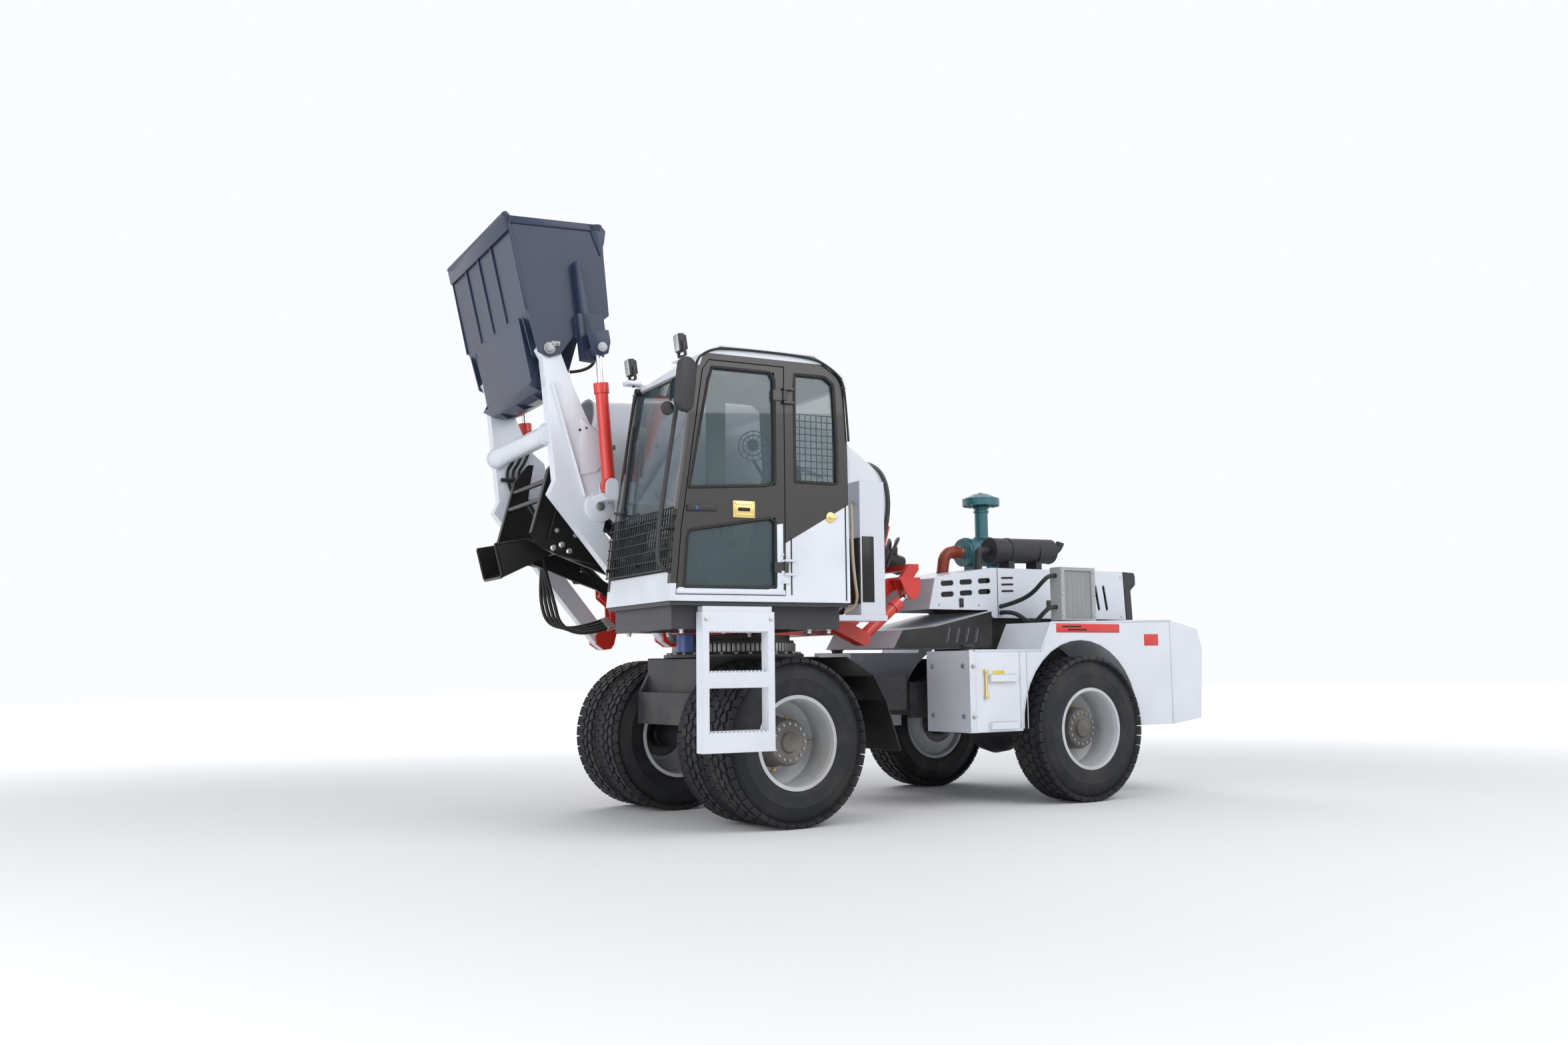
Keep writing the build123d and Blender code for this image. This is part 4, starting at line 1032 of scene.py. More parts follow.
def lockPin(x, z, y, way, radius=0.034):
    # A pin's end with its lock plate, on a face looking along way
    endCap = rod((x, y, z), (x, y + way * 0.022, z), radius, 28, soft=0.004)
    lock = sideBlock(x + 0.012, x + 0.075, z + 0.018, z + 0.052, y, way, 0.010, soft=0.003)
    ringPlate = rod((x, y, z), (x, y + way * 0.010, z), radius * 1.45, 28, soft=0.002)
    bolt = boltRow(hexBolt(0.009, 0.010), [(x + 0.058, y + way * 0.010, z + 0.036)], (0, way, 0))
    return joinAll([endCap, lock, ringPlate, bolt])


boomPins = []
for way in bothSides:
    boomPins.append(lockPin(-0.885, 2.123, sideY["outer", way], way, 0.030))
    boomPins.append(lockPin(-0.850, 2.50, sideY["outer", way], way, 0.020))
settle(boomPins, "boom_pins", "loading_boom", bareSteel)
footPins = [lockPin(-0.360, 1.245, sideY["inner", way] + way * 0.081, way, 0.032) for way in bothSides]
settle(footPins, "boom_foot_pins", "upper_frame", bareSteel)
earPins = [rod((-0.835, sideY["outer", way], 2.42), (-0.835, sideY["outer", way] + way * 0.025, 2.42), 0.030,
               24, soft=0.003)
           for way in bothSides]
settle(earPins, "boom_ear_pins", "loading_boom", goldPlate)


def armGusset(way):
    y, outer = sideY["inner", way], sideY["outer", way]
    rib = sidePlate([(-1.235, 2.95), (-1.225, 2.95), (-0.99, 2.19), (-1.00, 2.19)], outer, way, 0.028)
    hubBoss = rod((-0.885, outer - way * 0.002, 2.123), (-0.885, outer + way * 0.012, 2.123), 0.105, 36,
                  soft=0.003)
    earEdge = [(-1.02, 2.72), (-0.92, 2.645), (-0.845, 2.60), (-0.822, 2.50), (-0.85, 2.43), (-0.905, 2.36),
               (-1.03, 2.33)]
    earPlate = sidePlate(earEdge, outer, way, 0.010)
    weldY = outer + way * 0.004
    weld = bentTube([(-1.232, weldY, 2.945), (-1.11, weldY, 2.56), (-0.998, weldY, 2.20)], 0.006, 2)
    collar = [(0, 0.064), (way * 0.012, 0.066), (way * 0.012, 0.074), (0, 0.080)]
    tubeWeld = ringAt(collar, 32, Matrix.Translation((-1.217, y - way * 0.062, 2.614)))
    return joinAll([rib, hubBoss, earPlate, weld, tubeWeld])


settle([armGusset(way) for way in bothSides], "boom_gussets", "loading_boom", whitePaint)
# Dark discs on the arm ears: painted shade standing in for the tapped holes
tappedHoleShade = [rod((x, sideY["outer", way] - way * 0.0005, z), (x, sideY["outer", way] + way * 0.0115, z),
                  0.008, 12)
              for way in bothSides for x, z in ((-1.03, 2.64), (-0.985, 2.655))]
settle(tappedHoleShade, "boom_tapped_hole_shade", "loading_boom", rubberAndPaintedShade)

# Pipes run down the inside of the far arm; from there hoses hang to the platform
pipeRun = [(-1.06, 2.70, 1), (-1.09, 2.60, 1), (-1.15, 2.52, 1), (-1.13, 2.40, 1), (-1.02, 2.22, 1),
           (-0.80, 1.95, 0.6),
           (-0.60, 1.68, 0.4)]
pipeY = sideY["inner", 1] - 0.052
pipes = [bentTube([(x + 0.045 * i * spread, pipeY - 0.016, z) for x, z, spread in pipeRun], 0.011, 4)
         for i in range(3)]
clamps = [block((-1.19, pipeY - 0.030, 2.44), (-1.00, pipeY, 2.468), soft=0.004),
          block((-0.88, pipeY - 0.030, 2.03), (-0.70, pipeY, 2.058), soft=0.004)]
settle(pipes + clamps, "boom_pipes", "loading_boom", hoseRubber)
hoseRuns = []
for i in range(4):
    y = 0.90 + 0.045 * i
    hoseRuns.append(bentTube([
        (-0.93 + 0.02 * i, y + 0.10, 2.02), (-0.95 + 0.02 * i, y + 0.04, 1.90), (-0.92, y, 1.72),
        (-0.86 - 0.02 * i, y, 1.52),
        (-0.83 - 0.015 * i, y - 0.03, 1.36), (-0.72, y - 0.06, 1.29 + 0.012 * i),
        (-0.56, y - 0.08, 1.30 + 0.02 * i),
        (-0.44, y - 0.08, 1.34 + 0.02 * i)], 0.0135, 4))
settle(hoseRuns, "boom_hoses", "upper_frame", hoseRubber)
fittings = [rod((-0.475, 0.82 + 0.045 * i, 1.325 + 0.02 * i), (-0.415, 0.82 + 0.045 * i, 1.345 + 0.02 * i),
                0.019, 6, soft=0.002)
            for i in range(4)]
settle(fittings, "hose_fittings", "upper_frame", zincSteel)

# Bucket: wear strips, lip, side ribs, tips and tilt lugs
bucketPlan = {"front": ((-1.556, 4.03), (-1.415, 3.43)), "ribs": (0.30, 0.52, 0.74), "ribHalf": 0.016}
bucketSides = {
    "rim": [(-1.572, 4.055), (-0.905, 4.078), (-0.897, 4.03), (-1.560, 4.005)],
    "front": [(-1.565, 4.05), (-1.545, 4.05), (-1.405, 3.43), (-1.425, 3.42)],
    "horn": [(-0.985, 4.07), (-0.925, 4.082), (-0.90, 4.083), (-0.86, 4.04), (-0.868, 3.96), (-0.895, 3.86),
             (-0.93, 3.93)],
    "brace": [(-1.10, 3.78), (-1.075, 3.80), (-0.975, 3.30), (-0.90, 3.17), (-1.02, 3.17), (-1.04, 3.32)],
    "lug": [(-1.06, 3.28), (-1.01, 3.14), (-0.955, 3.115), (-0.90, 3.14), (-0.885, 3.22), (-0.90, 3.30)],
}


def bucketDress(plan, sides):
    near, far = sideY["bucket", -1], sideY["bucket", 1]
    parts = []
    (x0, z0), (x1, z1) = plan["front"]
    strip = [(x0 - 0.010, z0), (x1 - 0.010, z1), (x1 + 0.002, z1), (x0 + 0.002, z0)]
    for at in plan["ribs"]:
        y = near + (far - near) * at
        parts.append(plate(strip, y - plan["ribHalf"], y + plan["ribHalf"], soft=0.003))
    parts.append(plate([(-1.585, 4.075), (-1.568, 4.083), (-1.540, 3.955), (-1.556, 3.950)], near - 0.006,
                       far + 0.006, soft=0.002))
    for way in bothSides:
        y = sideY["bucket", way]
        parts += [sidePlate(sides["rim"], y, way, 0.012), sidePlate(sides["front"], y, way, 0.012),
                  sidePlate(sides["horn"], y, way, 0.012, 0.004),
                  sidePlate(sides["brace"], y, way, 0.075, 0.004)]
        for lug in (-0.058, 0.058):
            lugY = boomCentreY + way * (armPlan["lug"] + lug)
            rootY = boomCentreY + way * 0.73
            parts.append(plate(sides["lug"], lugY - 0.008, lugY + 0.008, soft=0.003))
            parts.append(block((-1.03, min(rootY, lugY), 3.268), (-0.90, max(rootY, lugY), 3.282),
                               soft=0.003))
    return joinAll(parts)


settle(bucketDress(bucketPlan, bucketSides), "bucket_ribs", "loading_bucket", navyPaint)
bucketPins = [lockPin(-1.254, 3.178, sideY["bucket", way], way, 0.028) for way in bothSides]
tiltPins = [rod((-0.950, sideY["lug", way] + way * 0.066, 3.174),
                (-0.950, sideY["lug", way] + way * 0.090, 3.174), 0.034, 24, soft=0.004)
            for way in bothSides]
settle(bucketPins + tiltPins, "bucket_pins", "loading_bucket", bareSteel)
gateEdge = [(-1.335, 2.972), (-1.20, 2.905), (-1.05, 2.965), (-1.06, 2.945), (-1.20, 2.885), (-1.33, 2.952)]
gateRibs = [plate(gateEdge, y - 0.01, y + 0.01, soft=0.002)
            for y in (boomCentreY - 0.40, boomCentreY, boomCentreY + 0.40)]
settle(gateRibs, "gate_ribs", "gate", navyPaint)
hoseLoop = [(-1.00, 0.0, 3.30), (-0.88, 0.02, 3.32), (-0.80, 0.05, 3.24), (-0.86, 0.08, 3.12),
            (-1.0, 0.08, 3.10)]
gateHoses = [bentTube([(x, y + dy, z) for x, dy, z in hoseLoop], 0.011, 4)
             for y in (boomCentreY - 0.50, boomCentreY + 0.50)]
settle(gateHoses, "gate_hoses", "loading_bucket", hoseRubber)
print("boom and bucket dressed")

# Hopper and chute: bolts, ribs, cross bars and the chute's edge beads
hopperPlan = {"cheek": 0.381, "round": ((-1.10, 1.862), (-1.04, 1.885), (-0.985, 1.840)),
              "hex": ((-1.075, 1.985), (-0.94, 1.955)), "barReach": 0.372,
              "bars": ((-1.185, 2.20), (-1.150, 2.330))}
hopperEdges = (
    ([(-1.270, 1.96), (-1.150, 2.41), (-1.045, 2.545), (-1.034, 2.537), (-1.137, 2.403), (-1.257, 1.957)],
     0.003),
    ([(-1.150, 1.92), (-1.080, 2.20), (-1.050, 2.42), (-1.038, 2.418), (-1.068, 2.197), (-1.138, 1.917)],
     0.002),
    ([(-1.06, 1.815), (-0.66, 1.73), (-0.66, 1.718), (-1.06, 1.802)], 0.002),
)


def cheekSpots(spots):
    return [facing((x, boomCentreY + way * hopperPlan["cheek"], z), (0, way, 0)) for way in bothSides
            for x, z in spots]


hopperBolts = [copyTo(domeBolt(0.022, 0.014), cheekSpots(hopperPlan["round"])),
               copyTo(hexBolt(0.014, 0.020), cheekSpots(hopperPlan["hex"]))]
settle(hopperBolts, "hopper_bolts", "upper_frame", zincSteel)
hopperRibs = [sidePlate(edge, boomCentreY + way * hopperPlan["cheek"], way, 0.045, soft) for way in bothSides
              for edge, soft in hopperEdges]
nearBar, farBar = boomCentreY - hopperPlan["barReach"], boomCentreY + hopperPlan["barReach"]
hopperRibs += [rod((x, nearBar, z), (x, farBar, z), 0.018, 16) for x, z in hopperPlan["bars"]]
settle(hopperRibs, "hopper_ribs", "upper_frame", blackPaint)

chutePlan = {"pin": (-1.05, 1.84), "run": 0.4, "slope": 26, "half": 0.225}


def chuteLip(plan):
    slope, half = math.radians(plan["slope"]), plan["half"]
    endX = plan["pin"][0] - plan["run"] * math.cos(slope)
    endZ = plan["pin"][1] - plan["run"] * math.sin(slope)
    near, far = boomCentreY - half, boomCentreY + half
    lip = [(endX - 0.055, near, endZ + 0.222), (endX - 0.004, near, endZ + 0.02), (endX, near + 0.02, endZ),
           (endX, far - 0.02, endZ), (endX - 0.004, far, endZ + 0.02), (endX - 0.055, far, endZ + 0.222)]
    beads = [bentTube([(endX - 0.058, y, endZ + 0.225), (-1.24, y, 1.932), (-1.175, y, 1.904)], 0.009, 3,
                      straight=True)
             for y in (near, far)]
    return joinAll([bentTube(lip, 0.010, 3, straight=True), *beads])


settle(chuteLip(chutePlan), "chute_lip", "pouring_chute", blackPaint)
print("hopper dressed")

# Drum: weld bands, rim bolts, mouth ring, drive bolts and its motor's hoses; rings lie along the drum's axis
drumPlan = {"seam": (1.40, boomCentreY, 2.01), "tilt": 16.5, "rimBolts": 36, "rimBoltRadius": 0.628,
            "bands": ((0.42, 0.790, 0.012, 0.004), (1.08, 0.790, 0.012, 0.004), (1.70, 0.5625, 0.012, 0.004),
                      (2.308, 0.338, 0.016, 0.012)),
            "hatch": {"along": 0.78, "turn": -62, "out": 0.796}}
drumTilt = math.radians(drumPlan["tilt"])
drumAxis = Vector((-math.cos(drumTilt), 0, math.sin(drumTilt)))
drumPlace = Matrix.Translation(drumPlan["seam"]) @ drumAxis.to_track_quat("Y", "Z").to_matrix().to_4x4()


def drumBand(along, radius, wide, proud):
    low = radius - 0.004
    return ringAt([(along - wide, low), (along - wide, radius + proud * 0.4), (along, radius + proud),
                   (along + wide, radius + proud * 0.4), (along + wide, low)], 96, drumPlace)


settle([drumBand(*band) for band in drumPlan["bands"]], "drum_weld_bands", "mixing_drum",
       whitePaint, 60)
rimEdge = [(-0.030, 0.600), (-0.034, 0.655), (-0.020, 0.684), (0.004, 0.688), (0.012, 0.672), (0.004, 0.655)]
settle(ringAt(rimEdge, 96, drumPlace), "drum_rear_rim", "mixing_drum", greyPaint, 50)
boltTurns = [math.tau * i / drumPlan["rimBolts"] for i in range(drumPlan["rimBolts"])]
boltAt = drumPlan["rimBoltRadius"]
rimBolts = [drumPlace @ Matrix.Translation((boltAt * math.cos(turn), -0.032, boltAt * math.sin(turn)))
            @ Matrix.Rotation(math.radians(90), 4, "X") for turn in boltTurns]
settle(copyTo(hexBolt(0.012, 0.012), rimBolts), "drum_rim_bolts", "mixing_drum", bareSteel)


def drumHatch(plan):
    edge = [(-0.17, -0.11), (-0.17, 0.11), (-0.13, 0.15), (0.13, 0.15), (0.17, 0.11), (0.17, -0.11),
            (0.13, -0.15), (-0.13, -0.15)]
    cover = plate(edge, -0.008, 0.010, soft=0.004)
    bolts = boltRow(domeBolt(0.012, 0.012), [(x, 0.010, z) for x in (-0.14, 0, 0.14) for z in (-0.12, 0.12)],
                    (0, 1, 0))
    hatch = joinAll([cover, bolts])
    around = Matrix.Translation((0, plan["along"], 0)) @ Matrix.Rotation(math.radians(plan["turn"]), 4, "Y")
    outward = Matrix.Translation((0, 0, plan["out"])) @ Matrix.Rotation(math.radians(90), 4, "X")
    hatch.matrix_world = drumPlace @ around @ outward
    return hatch


settle(drumHatch(drumPlan["hatch"]), "drum_hatch", "mixing_drum", whitePaint)
driveParts = [ringAt([(along - 0.010, radius - 0.01), (along - 0.010, radius + 0.008),
                      (along + 0.010, radius + 0.008),
                      (along + 0.010, radius - 0.01)], 40, drumPlace)
              for along, radius in ((-0.20, 0.17), (-0.285, 0.17), (-0.41, 0.10))]
driveParts += [rod((1.90, boomCentreY + dy, 1.90), (1.905, boomCentreY + dy, 1.985), 0.022, 16, soft=0.003)
               for dy in (-0.04, 0.04)]
settle(driveParts, "drum_drive_rings", "drum_cradle", ironPaint)
driveRun = [(1.905, 0.0, 1, 1.98), (1.91, 0.0, 1, 2.03), (1.86, -0.1, 2, 2.06), (1.72, -0.24, 1, 1.92),
            (1.60, -0.30, 1, 1.72),
            (1.47, -0.33, 1, 1.66), (1.44, -0.36, 1, 1.60)]
driveHoses = [bentTube([(x, boomCentreY + at + dy * spread, z) for x, at, spread, z in driveRun], 0.014, 4)
              for dy in (-0.04, 0.04)]
settle(driveHoses, "drum_drive_hoses", "drum_cradle", hoseRubber)
print("drum dressed")


# Side tanks: flange, level gauge, labels, filler, stripe, rungs and seams
tankPlan = {"side": 0.950, "front": 1.573, "arch": (2.684, 0.604, 0.612), "archInner": 0.985,
            "seams": (2.12, 2.05)}
tankEdges = (
    oblong(tankPlan["front"] - 0.012, tankPlan["front"] + 0.045, 0.545, 1.136),
    [(tankPlan["front"] + 0.02, 1.125), (tankPlan["front"] + 0.02, 1.137), (2.258, 1.137), (2.258, 1.125)],
    [(2.262, 1.128), (2.372, 1.336), (2.380, 1.345), (3.70, 1.373), (3.70, 1.360), (2.392, 1.332),
     (2.276, 1.120)],
    [(3.70, 0.556), (3.70, 1.370), (3.712, 1.370), (3.712, 0.548)],
)


def tankDress(way, plan):
    y = way * plan["side"]
    soft = (0.003, 0.002, 0.002, 0.002)
    parts = [sidePlate(edge, y, way, 0.008, width) for edge, width in zip(tankEdges, soft)]
    x0, z0, radius = plan["arch"]
    turns = [math.radians(-4 + 188 * i / 18) for i in range(19)]
    arch = [(x0 + radius * math.cos(turn), z0 + radius * math.sin(turn)) for turn in turns]
    arch += [(x0 + (x - x0) * plan["archInner"], z0 + (z - z0) * plan["archInner"])
             for x, z in reversed(arch)]
    parts.append(sidePlate(arch, y, way, 0.008, 0))
    for x in plan["seams"]:
        parts.append(sidePlate(oblong(x, x + 0.004, 0.56, 1.12), y, way, 0.004 if way > 0 else 0.008, 0))
    return joinAll(parts)


settle([tankDress(way, tankPlan) for way in bothSides], "tank_flanges", "rear_chassis",
       whitePaint)
frontBolts = mirrorRows([(1.573, y, z) for y in (-0.88, -0.54) for z in (0.66, 1.02)])
sideBolts = mirrorRows([(1.595, -0.958, 0.66), (1.595, -0.958, 1.02)])
tankBolts = [facing(point, (-1, 0, 0)) for point in frontBolts]
tankBolts += [facing(point, (0, math.copysign(1, point[1]), 0)) for point in sideBolts]
settle(copyTo(hexBolt(0.014, 0.016), tankBolts), "tank_bolts", "rear_chassis", zincSteel)
gauge = [rod((1.712, -0.964, 0.80), (1.712, -0.964, 0.98), 0.009, 14)]
gauge += [sideBlock(1.698, 1.726, z - 0.014, z + 0.014, -0.952, -1, 0.024) for z in (0.80, 0.98)]
settle(gauge, "tank_level_gauge", "rear_chassis", goldPlate)


def signPlate(lowX, highX, lowZ, highZ, way=-1):
    return sidePlate(oblong(lowX, highX, lowZ, highZ), way * tankPlan["side"], way, 0.0025, 0.0006)


settle(signPlate(1.79, 1.90, 0.90, 0.985), "blank_yellow_label", "rear_chassis", labelYellow)
settle(signPlate(3.40, 3.56, 1.165, 1.255), "blank_red_sign", "rear_chassis", signRed)
stripes = [signPlate(2.44, 3.12, 1.264, 1.330, way) for way in bothSides]
settle(stripes, "tank_red_stripes", "rear_chassis", signRed)
dashes = [sidePlate(oblong(x, x + 0.20, z, z + 0.012), way * 0.9525, way, 0.001, 0)
          for way in bothSides for x, z in ((2.50, 1.303), (2.56, 1.279))]
settle(dashes, "stripe_dashes", "rear_chassis", rubberAndPaintedShade)


def fillerCap(x, y, z):
    neck = rod((x, y, z - 0.002), (x, y, z + 0.022), 0.045, 28, soft=0.003)
    cap = rod((x, y, z + 0.020), (x, y, z + 0.045), 0.054, 12, soft=0.006)
    return joinAll([neck, cap])


settle([fillerCap(1.68, way * 0.80, 1.131) for way in bothSides], "filler_caps", "rear_chassis",
       moulding)
gripSpots = [(1.760 + 0.0235 * i, way * 0.962, z) for way in bothSides for z in (0.955, 0.615)
             for i in range(11)]
grips = [block((x, y - 0.014, z - 0.001), (x + 0.011, y + 0.014, z + 0.006), soft=0.001, segments=1)
         for x, y, z in gripSpots]
settle(grips, "rung_grips", "rear_chassis", whitePaint)
tailLamps = [block((4.055, y - 0.09, 0.92), (4.082, y + 0.09, 1.00), soft=0.008, segments=3)
             for y in (-0.80, 0.80)]
settle(tailLamps, "tail_lamps", "rear_chassis", signRed)
print("tanks dressed")

# Hood: louvres, seams, latches, dark cap lip and engine top fittings
hoodSide = 0.360
# The louvre slots are dark plates on the hood side: painted shade standing in for the openings
louvreShadePlates = [sidePlate([(2.445, z), (2.445, z + 0.016), (2.570, z + 0.020), (2.570, z + 0.004)], way * hoodSide,
                     way, 0.002, 0)
           for way in bothSides for z in (1.70, 1.648, 1.596)]
settle(louvreShadePlates, "hood_louvre_slot_shade", "rear_chassis", rubberAndPaintedShade)
seams = [sidePlate(oblong(x, x + 0.006, 1.40, 1.782), way * hoodSide, way, 0.0015, 0) for way in bothSides
         for x in (2.40, 3.35)]
seams.append(block((3.35, -hoodSide, 1.786), (3.356, hoodSide, 1.7965), soft=0))
settle(seams, "hood_seams", "rear_chassis", rubberAndPaintedShade)
latches = [sideBlock(x - 0.018, x + 0.018, 1.47, 1.54, way * hoodSide, way, 0.014) for way in bothSides
           for x in (2.02, 2.95, 3.28)]
settle(latches, "hood_latches", "rear_chassis", moulding)
hoodBolts = [(1.80, 1.49), (2.20, 1.49), (2.44, 1.44), (3.30, 1.42), (3.40, 1.42), (3.80, 1.42), (3.80, 1.75),
             (1.84, 1.675)]
hoodBolts = boltSides(domeBolt(0.010, 0.008), [(x, -hoodSide, z) for x, z in hoodBolts])
settle(hoodBolts, "hood_bolts", "rear_chassis", zincSteel)
# Dark sheets just inside the hood side behind its front slots: painted shade for what is seen through them
slotShadeSheets = [block((1.82, y - 0.002, 1.54), (2.30, y + 0.002, 1.70), soft=0) for y in (-0.345, 0.345)]
settle(slotShadeSheets, "hood_slot_shade_sheets", "rear_chassis", rubberAndPaintedShade)

mufflerPlan = {"y": -0.23, "straps": (2.63, 2.93), "caps": (2.45, 3.10)}
cleanerPlan = {"y": 0.18, "bands": (2.56, 2.66, 2.88, 2.945), "stackX": 2.74,
               "collars": ((2.08, 0.064), (2.30, 0.064), (2.335, 0.068)), "fins": 16}


def flatBand(half, low, high):
    return [(-half, low), (-half, high), (half, high), (half, low)]


def mufflerDress(plan):
    y = plan["y"]
    capEdge = [(-0.012, 0.03), (-0.012, 0.088), (0.0, 0.098), (0.012, 0.088), (0.012, 0.03)]
    parts = [ringAt(flatBand(0.014, 0.099, 0.105), 40, lengthwise(x, y, 1.9385)) for x in plan["straps"]]
    parts += [ringAt(capEdge, 40, lengthwise(x, y, 1.943)) for x in plan["caps"]]
    outlet = bentTube([(3.10, y, 1.95), (3.17, y, 1.955), (3.21, y - 0.01, 1.99), (3.22, y - 0.02, 2.03)],
                      0.034, 6)
    return joinAll([*parts, outlet])


def cleanerDress(plan):
    y, stackX = plan["y"], plan["stackX"]
    parts = [ringAt(flatBand(0.012, 0.112, 0.120), 44, lengthwise(x, y, 1.956)) for x in plan["bands"]]
    parts += [rod((stackX, y, z - 0.010), (stackX, y, z + 0.010), radius, 36, soft=0.003)
              for z, radius in plan["collars"]]
    fin = block((stackX - 0.003, y + 0.05, 2.345), (stackX + 0.003, y + 0.15, 2.375), soft=0)
    centre = Matrix.Translation((stackX, y, 0))
    turns = [Matrix.Rotation(math.tau * i / plan["fins"], 4, "Z") for i in range(plan["fins"])]
    fins = copyTo(fin, [centre @ turn @ centre.inverted() for turn in turns])
    knob = rod((stackX, y, 2.445), (stackX, y, 2.462), 0.020, 6, soft=0.003)
    return joinAll([*parts, fins, knob])


settle(mufflerDress(mufflerPlan), "muffler_bands", "rear_chassis", moulding)
settle(cleanerDress(cleanerPlan), "air_cleaner_bands", "rear_chassis", tealPaint)
hoseClamps = [ringAt(flatBand(0.008, 0.047, 0.053), 32, lengthwise(x, 0.18, 1.95)) for x in (2.49, 2.515)]
settle(hoseClamps, "intake_hose_clamps", "rear_chassis", zincSteel)
humpEdge = [(-0.007, 0.044), (0.0, 0.054), (0.007, 0.044), (0.0, 0.040)]
humps = [ringAt(humpEdge, 32, lengthwise(x, 0.18, 1.95)) for x in (2.455, 2.437, 2.419)]
settle(humps, "intake_hose_humps", "rear_chassis", redHose)

coolerFins = [block((2.601, -0.884, 1.376 + 0.0118 * i), (2.889, -0.796, 1.3790 + 0.0118 * i), soft=0)
              for i in range(31)]
coolerFins += [block((2.646 + 0.048 * i, -0.8825, 1.374), (2.652 + 0.048 * i, -0.7975, 1.741), soft=0)
               for i in range(6)]
settle(coolerFins, "cooler_fins", "rear_chassis", finGrey)
coolerBolts = boltRow(hexBolt(0.009, 0.008), [(x, -0.895, z) for x in (2.578, 2.912)
                                              for z in (1.40, 1.56, 1.73)], (0, -1, 0))
settle(coolerBolts, "cooler_bolts", "rear_chassis", zincSteel)
coolerHoses = []
for z, drop in ((1.70, 0), (1.46, 0.05)):
    coolerHoses.append(bentTube([(2.56, -0.84, z), (2.50, -0.84, z), (2.46, -0.82, z - 0.03),
                                 (2.44, -0.70, z - 0.14),
                                 (2.43, -0.50, 1.50 - drop), (2.43, -0.34, 1.48 - drop)], 0.017, 4))
settle(coolerHoses, "cooler_hoses", "rear_chassis", hoseRubber)
print("hood dressed")

# Ladder: serrated treads; base bolts and mounts, slew ring teeth and bolts, motor head and pin cap
treadSpots = [(-0.645 + 0.0265 * i, z) for z in (0.640, 1.000, 1.245) for i in range(15)]
treads = [block((x, -1.398, z - 0.006), (x + 0.012, -1.312, z + 0.010), soft=0.001, segments=1)
          for x, z in treadSpots]
settle(treads, "ladder_tread_teeth", "upper_frame", whitePaint)
ladderBolts = boltRow(hexBolt(0.010, 0.010), [(-0.675, -1.40, 1.32), (-0.24, -1.40, 1.32)], (0, -1, 0))
settle(ladderBolts, "ladder_bolts", "upper_frame", zincSteel)
baseSpots = [(x, y, 1.262) for x in (-0.78, -0.50, 0.10, 0.24) for y in (-1.27, -0.41)]
settle(boltRow(hexBolt(0.014, 0.026), baseSpots, (0, 0, -1)), "cab_base_bolts", "upper_frame",
       zincSteel)
mounts = [rod((x, y, 1.398), (x, y, 1.428), 0.040, 24, soft=0.006) for x in (-0.80, 0.22)
          for y in (-1.345, -0.40)]
settle(mounts, "cab_rubber_mounts", "upper_frame", rubberAndPaintedShade)

ringPlan = {"toothZ": 1.165, "teeth": 84, "boltZ": 1.120, "boltRadius": 0.47, "bolts": 30}
ringCentre = Matrix.Translation((slewX, 0, ringPlan["toothZ"]))
toothTurns = [ringCentre @ Matrix.Rotation(math.tau * i / ringPlan["teeth"], 4, "Z")
              for i in range(ringPlan["teeth"])]
tooth = block((0.424, -0.012, -0.030), (0.442, 0.012, 0.030), soft=0.002)
settle(copyTo(tooth, toothTurns), "slew_ring_teeth", "upper_frame", bareSteel)


def levelRing(x, radius, z, count):
    return [(x + radius * math.cos(math.tau * i / count), radius * math.sin(math.tau * i / count), z)
            for i in range(count)]


ringSpots = levelRing(slewX, ringPlan["boltRadius"], ringPlan["boltZ"], ringPlan["bolts"])
settle(boltRow(hexBolt(0.013, 0.014), ringSpots, (0, 0, 1)), "slew_ring_bolts", "front_chassis",
       bareSteel)
motorHead = [rod((-0.33, -0.31, 1.345), (-0.33, -0.31, 1.375), 0.062, 24, soft=0.006),
             block((-0.41, -0.345, 1.352), (-0.33, -0.275, 1.372), soft=0.006),
             rod((-0.44, -0.31, 1.362), (-0.40, -0.31, 1.362), 0.020, 6, soft=0.002)]
settle(motorHead, "slew_motor_head", "upper_frame", bluePaint)
pinCap = [rod((1.15, 0, 1.02), (1.15, 0, 1.045), 0.085, 36, soft=0.006),
          boltRow(hexBolt(0.012, 0.014), levelRing(1.15, 0.062, 1.045, 6), (0, 0, 1))]
settle(pinCap, "steering_pin_cap", "front_chassis", bareSteel)
columnPanels = [block((0.806, -0.714, 1.46), (0.822, -0.50, 1.92), soft=0.004),
                plate(oblong(0.835, 0.93, 1.47, 1.93), -0.7135, -0.7095, soft=0.001)]
settle(columnPanels, "service_column_panel", "upper_frame", blackPaint)
creamRun = [(0.82, -0.60, 2.18), (0.78, -0.66, 2.16), (0.76, -0.70, 2.05), (0.75, -0.72, 1.80),
            (0.77, -0.72, 1.60),
            (0.80, -0.70, 1.50), (0.80, -0.66, 1.43), (0.74, -0.62, 1.40)]
settle(bentTube(creamRun, 0.011, 4), "cream_water_hose", "upper_frame", creamHose)
print("platform dressed")


# Floor, studio light and world
studioPlan = {"floorSize": 90, "floorGrey": 0.93, "farFloor": (0.62, 0.62, 0.63), "aim": (0, 0, 1.5),
              "sky": 0.50, "skyColour": (0.90, 0.94, 1.0, 1), "backdrop": (0.97, 0.98, 1.0, 1)}
studioLamps = (
    # place, watts, size
    ((2.5, -9.5, 8.0), 540, 8),
    ((-11.0, -4.0, 4.5), 520, 9),
    ((3.0, 10.0, 8.0), 380, 7),
)


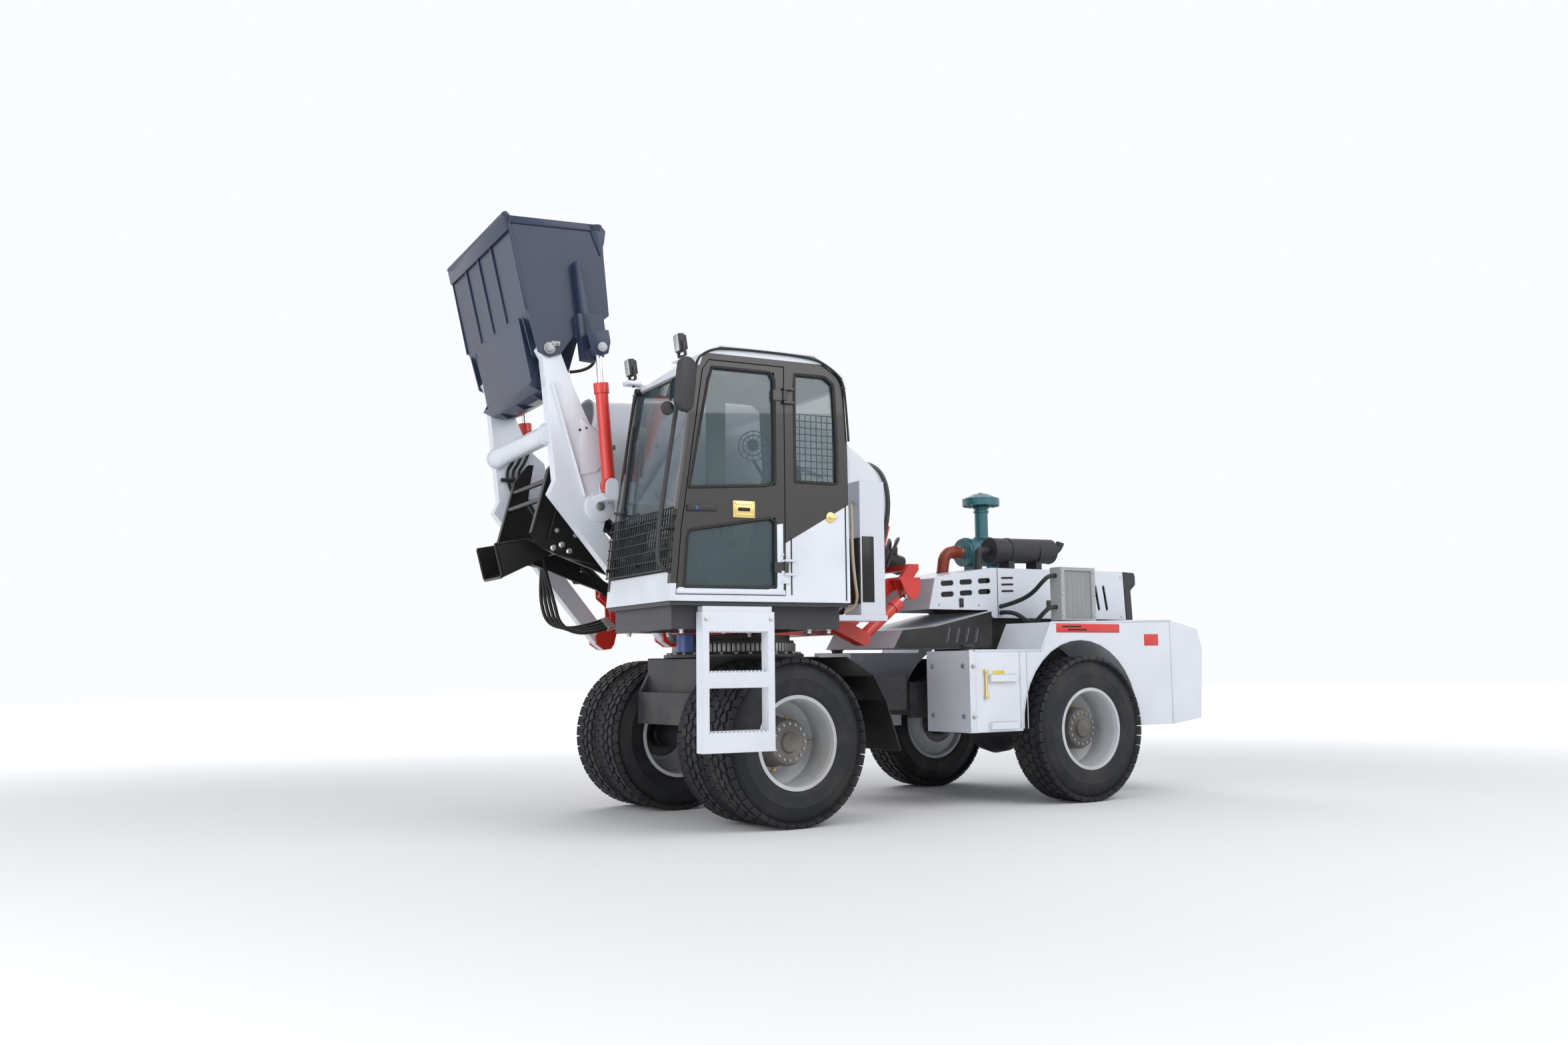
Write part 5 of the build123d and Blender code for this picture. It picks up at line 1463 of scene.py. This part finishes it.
def addFloor(plan):
    bpy.ops.mesh.primitive_plane_add(size=plan["floorSize"])
    floor = bpy.context.object
    floor.name = "studioFloor"
    bench = Bench("studio floor")
    grey = plan["floorGrey"]
    bench.set(Base_Color=bench.blend(bench.noise(0.6, 2), (grey, grey, grey),
                                     (grey * 0.985, grey * 0.985, grey * 0.99)))
    # Far from the machine the floor fades into the backdrop, for rays that look at it and not for its light
    away = bench.node("ShaderNodeVectorMath", {"operation": "LENGTH"},
                      {0: bench.objectPoint}).out("Value").smooth(4.5, 15)
    rays = bench.node("ShaderNodeLightPath")
    looked = rays.out("Is Camera Ray").most(rays.out("Is Glossy Ray")).most(rays.out("Is Transmission Ray"))
    bench.set(Emission_Color=bench.blend(away * looked, (0, 0, 0), plan["farFloor"]))
    floor.data.materials.append(bench.fix(Roughness=0.9, Emission_Strength=1.0))


def addWorld(plan):
    world = bpy.data.worlds.new("studio sky")
    bpy.context.scene.world = world
    world.use_nodes = True
    nodes, links = world.node_tree.nodes, world.node_tree.links
    sky, backdrop = nodes["Background"], nodes.new("ShaderNodeBackground")
    for background, colour, strength in ((sky, "skyColour", plan["sky"]), (backdrop, "backdrop", 1.0)):
        background.inputs["Color"].default_value = plan[colour]
        background.inputs["Strength"].default_value = strength
    rays, mixer = nodes.new("ShaderNodeLightPath"), nodes.new("ShaderNodeMixShader")
    mirrored, seen = nodes.new("ShaderNodeMath"), nodes.new("ShaderNodeMath")
    mirrored.operation = seen.operation = "MAXIMUM"
    links.new(rays.outputs["Is Glossy Ray"], mirrored.inputs[0])
    links.new(rays.outputs["Is Transmission Ray"], mirrored.inputs[1])
    links.new(rays.outputs["Is Camera Ray"], seen.inputs[0])
    links.new(mirrored.outputs[0], seen.inputs[1])
    links.new(seen.outputs[0], mixer.inputs[0])
    links.new(sky.outputs[0], mixer.inputs[1])
    links.new(backdrop.outputs[0], mixer.inputs[2])
    links.new(mixer.outputs[0], nodes["World Output"].inputs[0])


addFloor(studioPlan)
for at, watts, size in studioLamps:
    bpy.ops.object.light_add(type="AREA", location=at)
    lamp = bpy.context.object
    lamp.data.energy = watts
    lamp.data.size = size
    lamp.rotation_euler = (Vector(studioPlan["aim"]) - Vector(at)).to_track_quat("-Z", "Y").to_euler()
addWorld(studioPlan)
bpy.context.scene.view_settings.view_transform = "Standard"
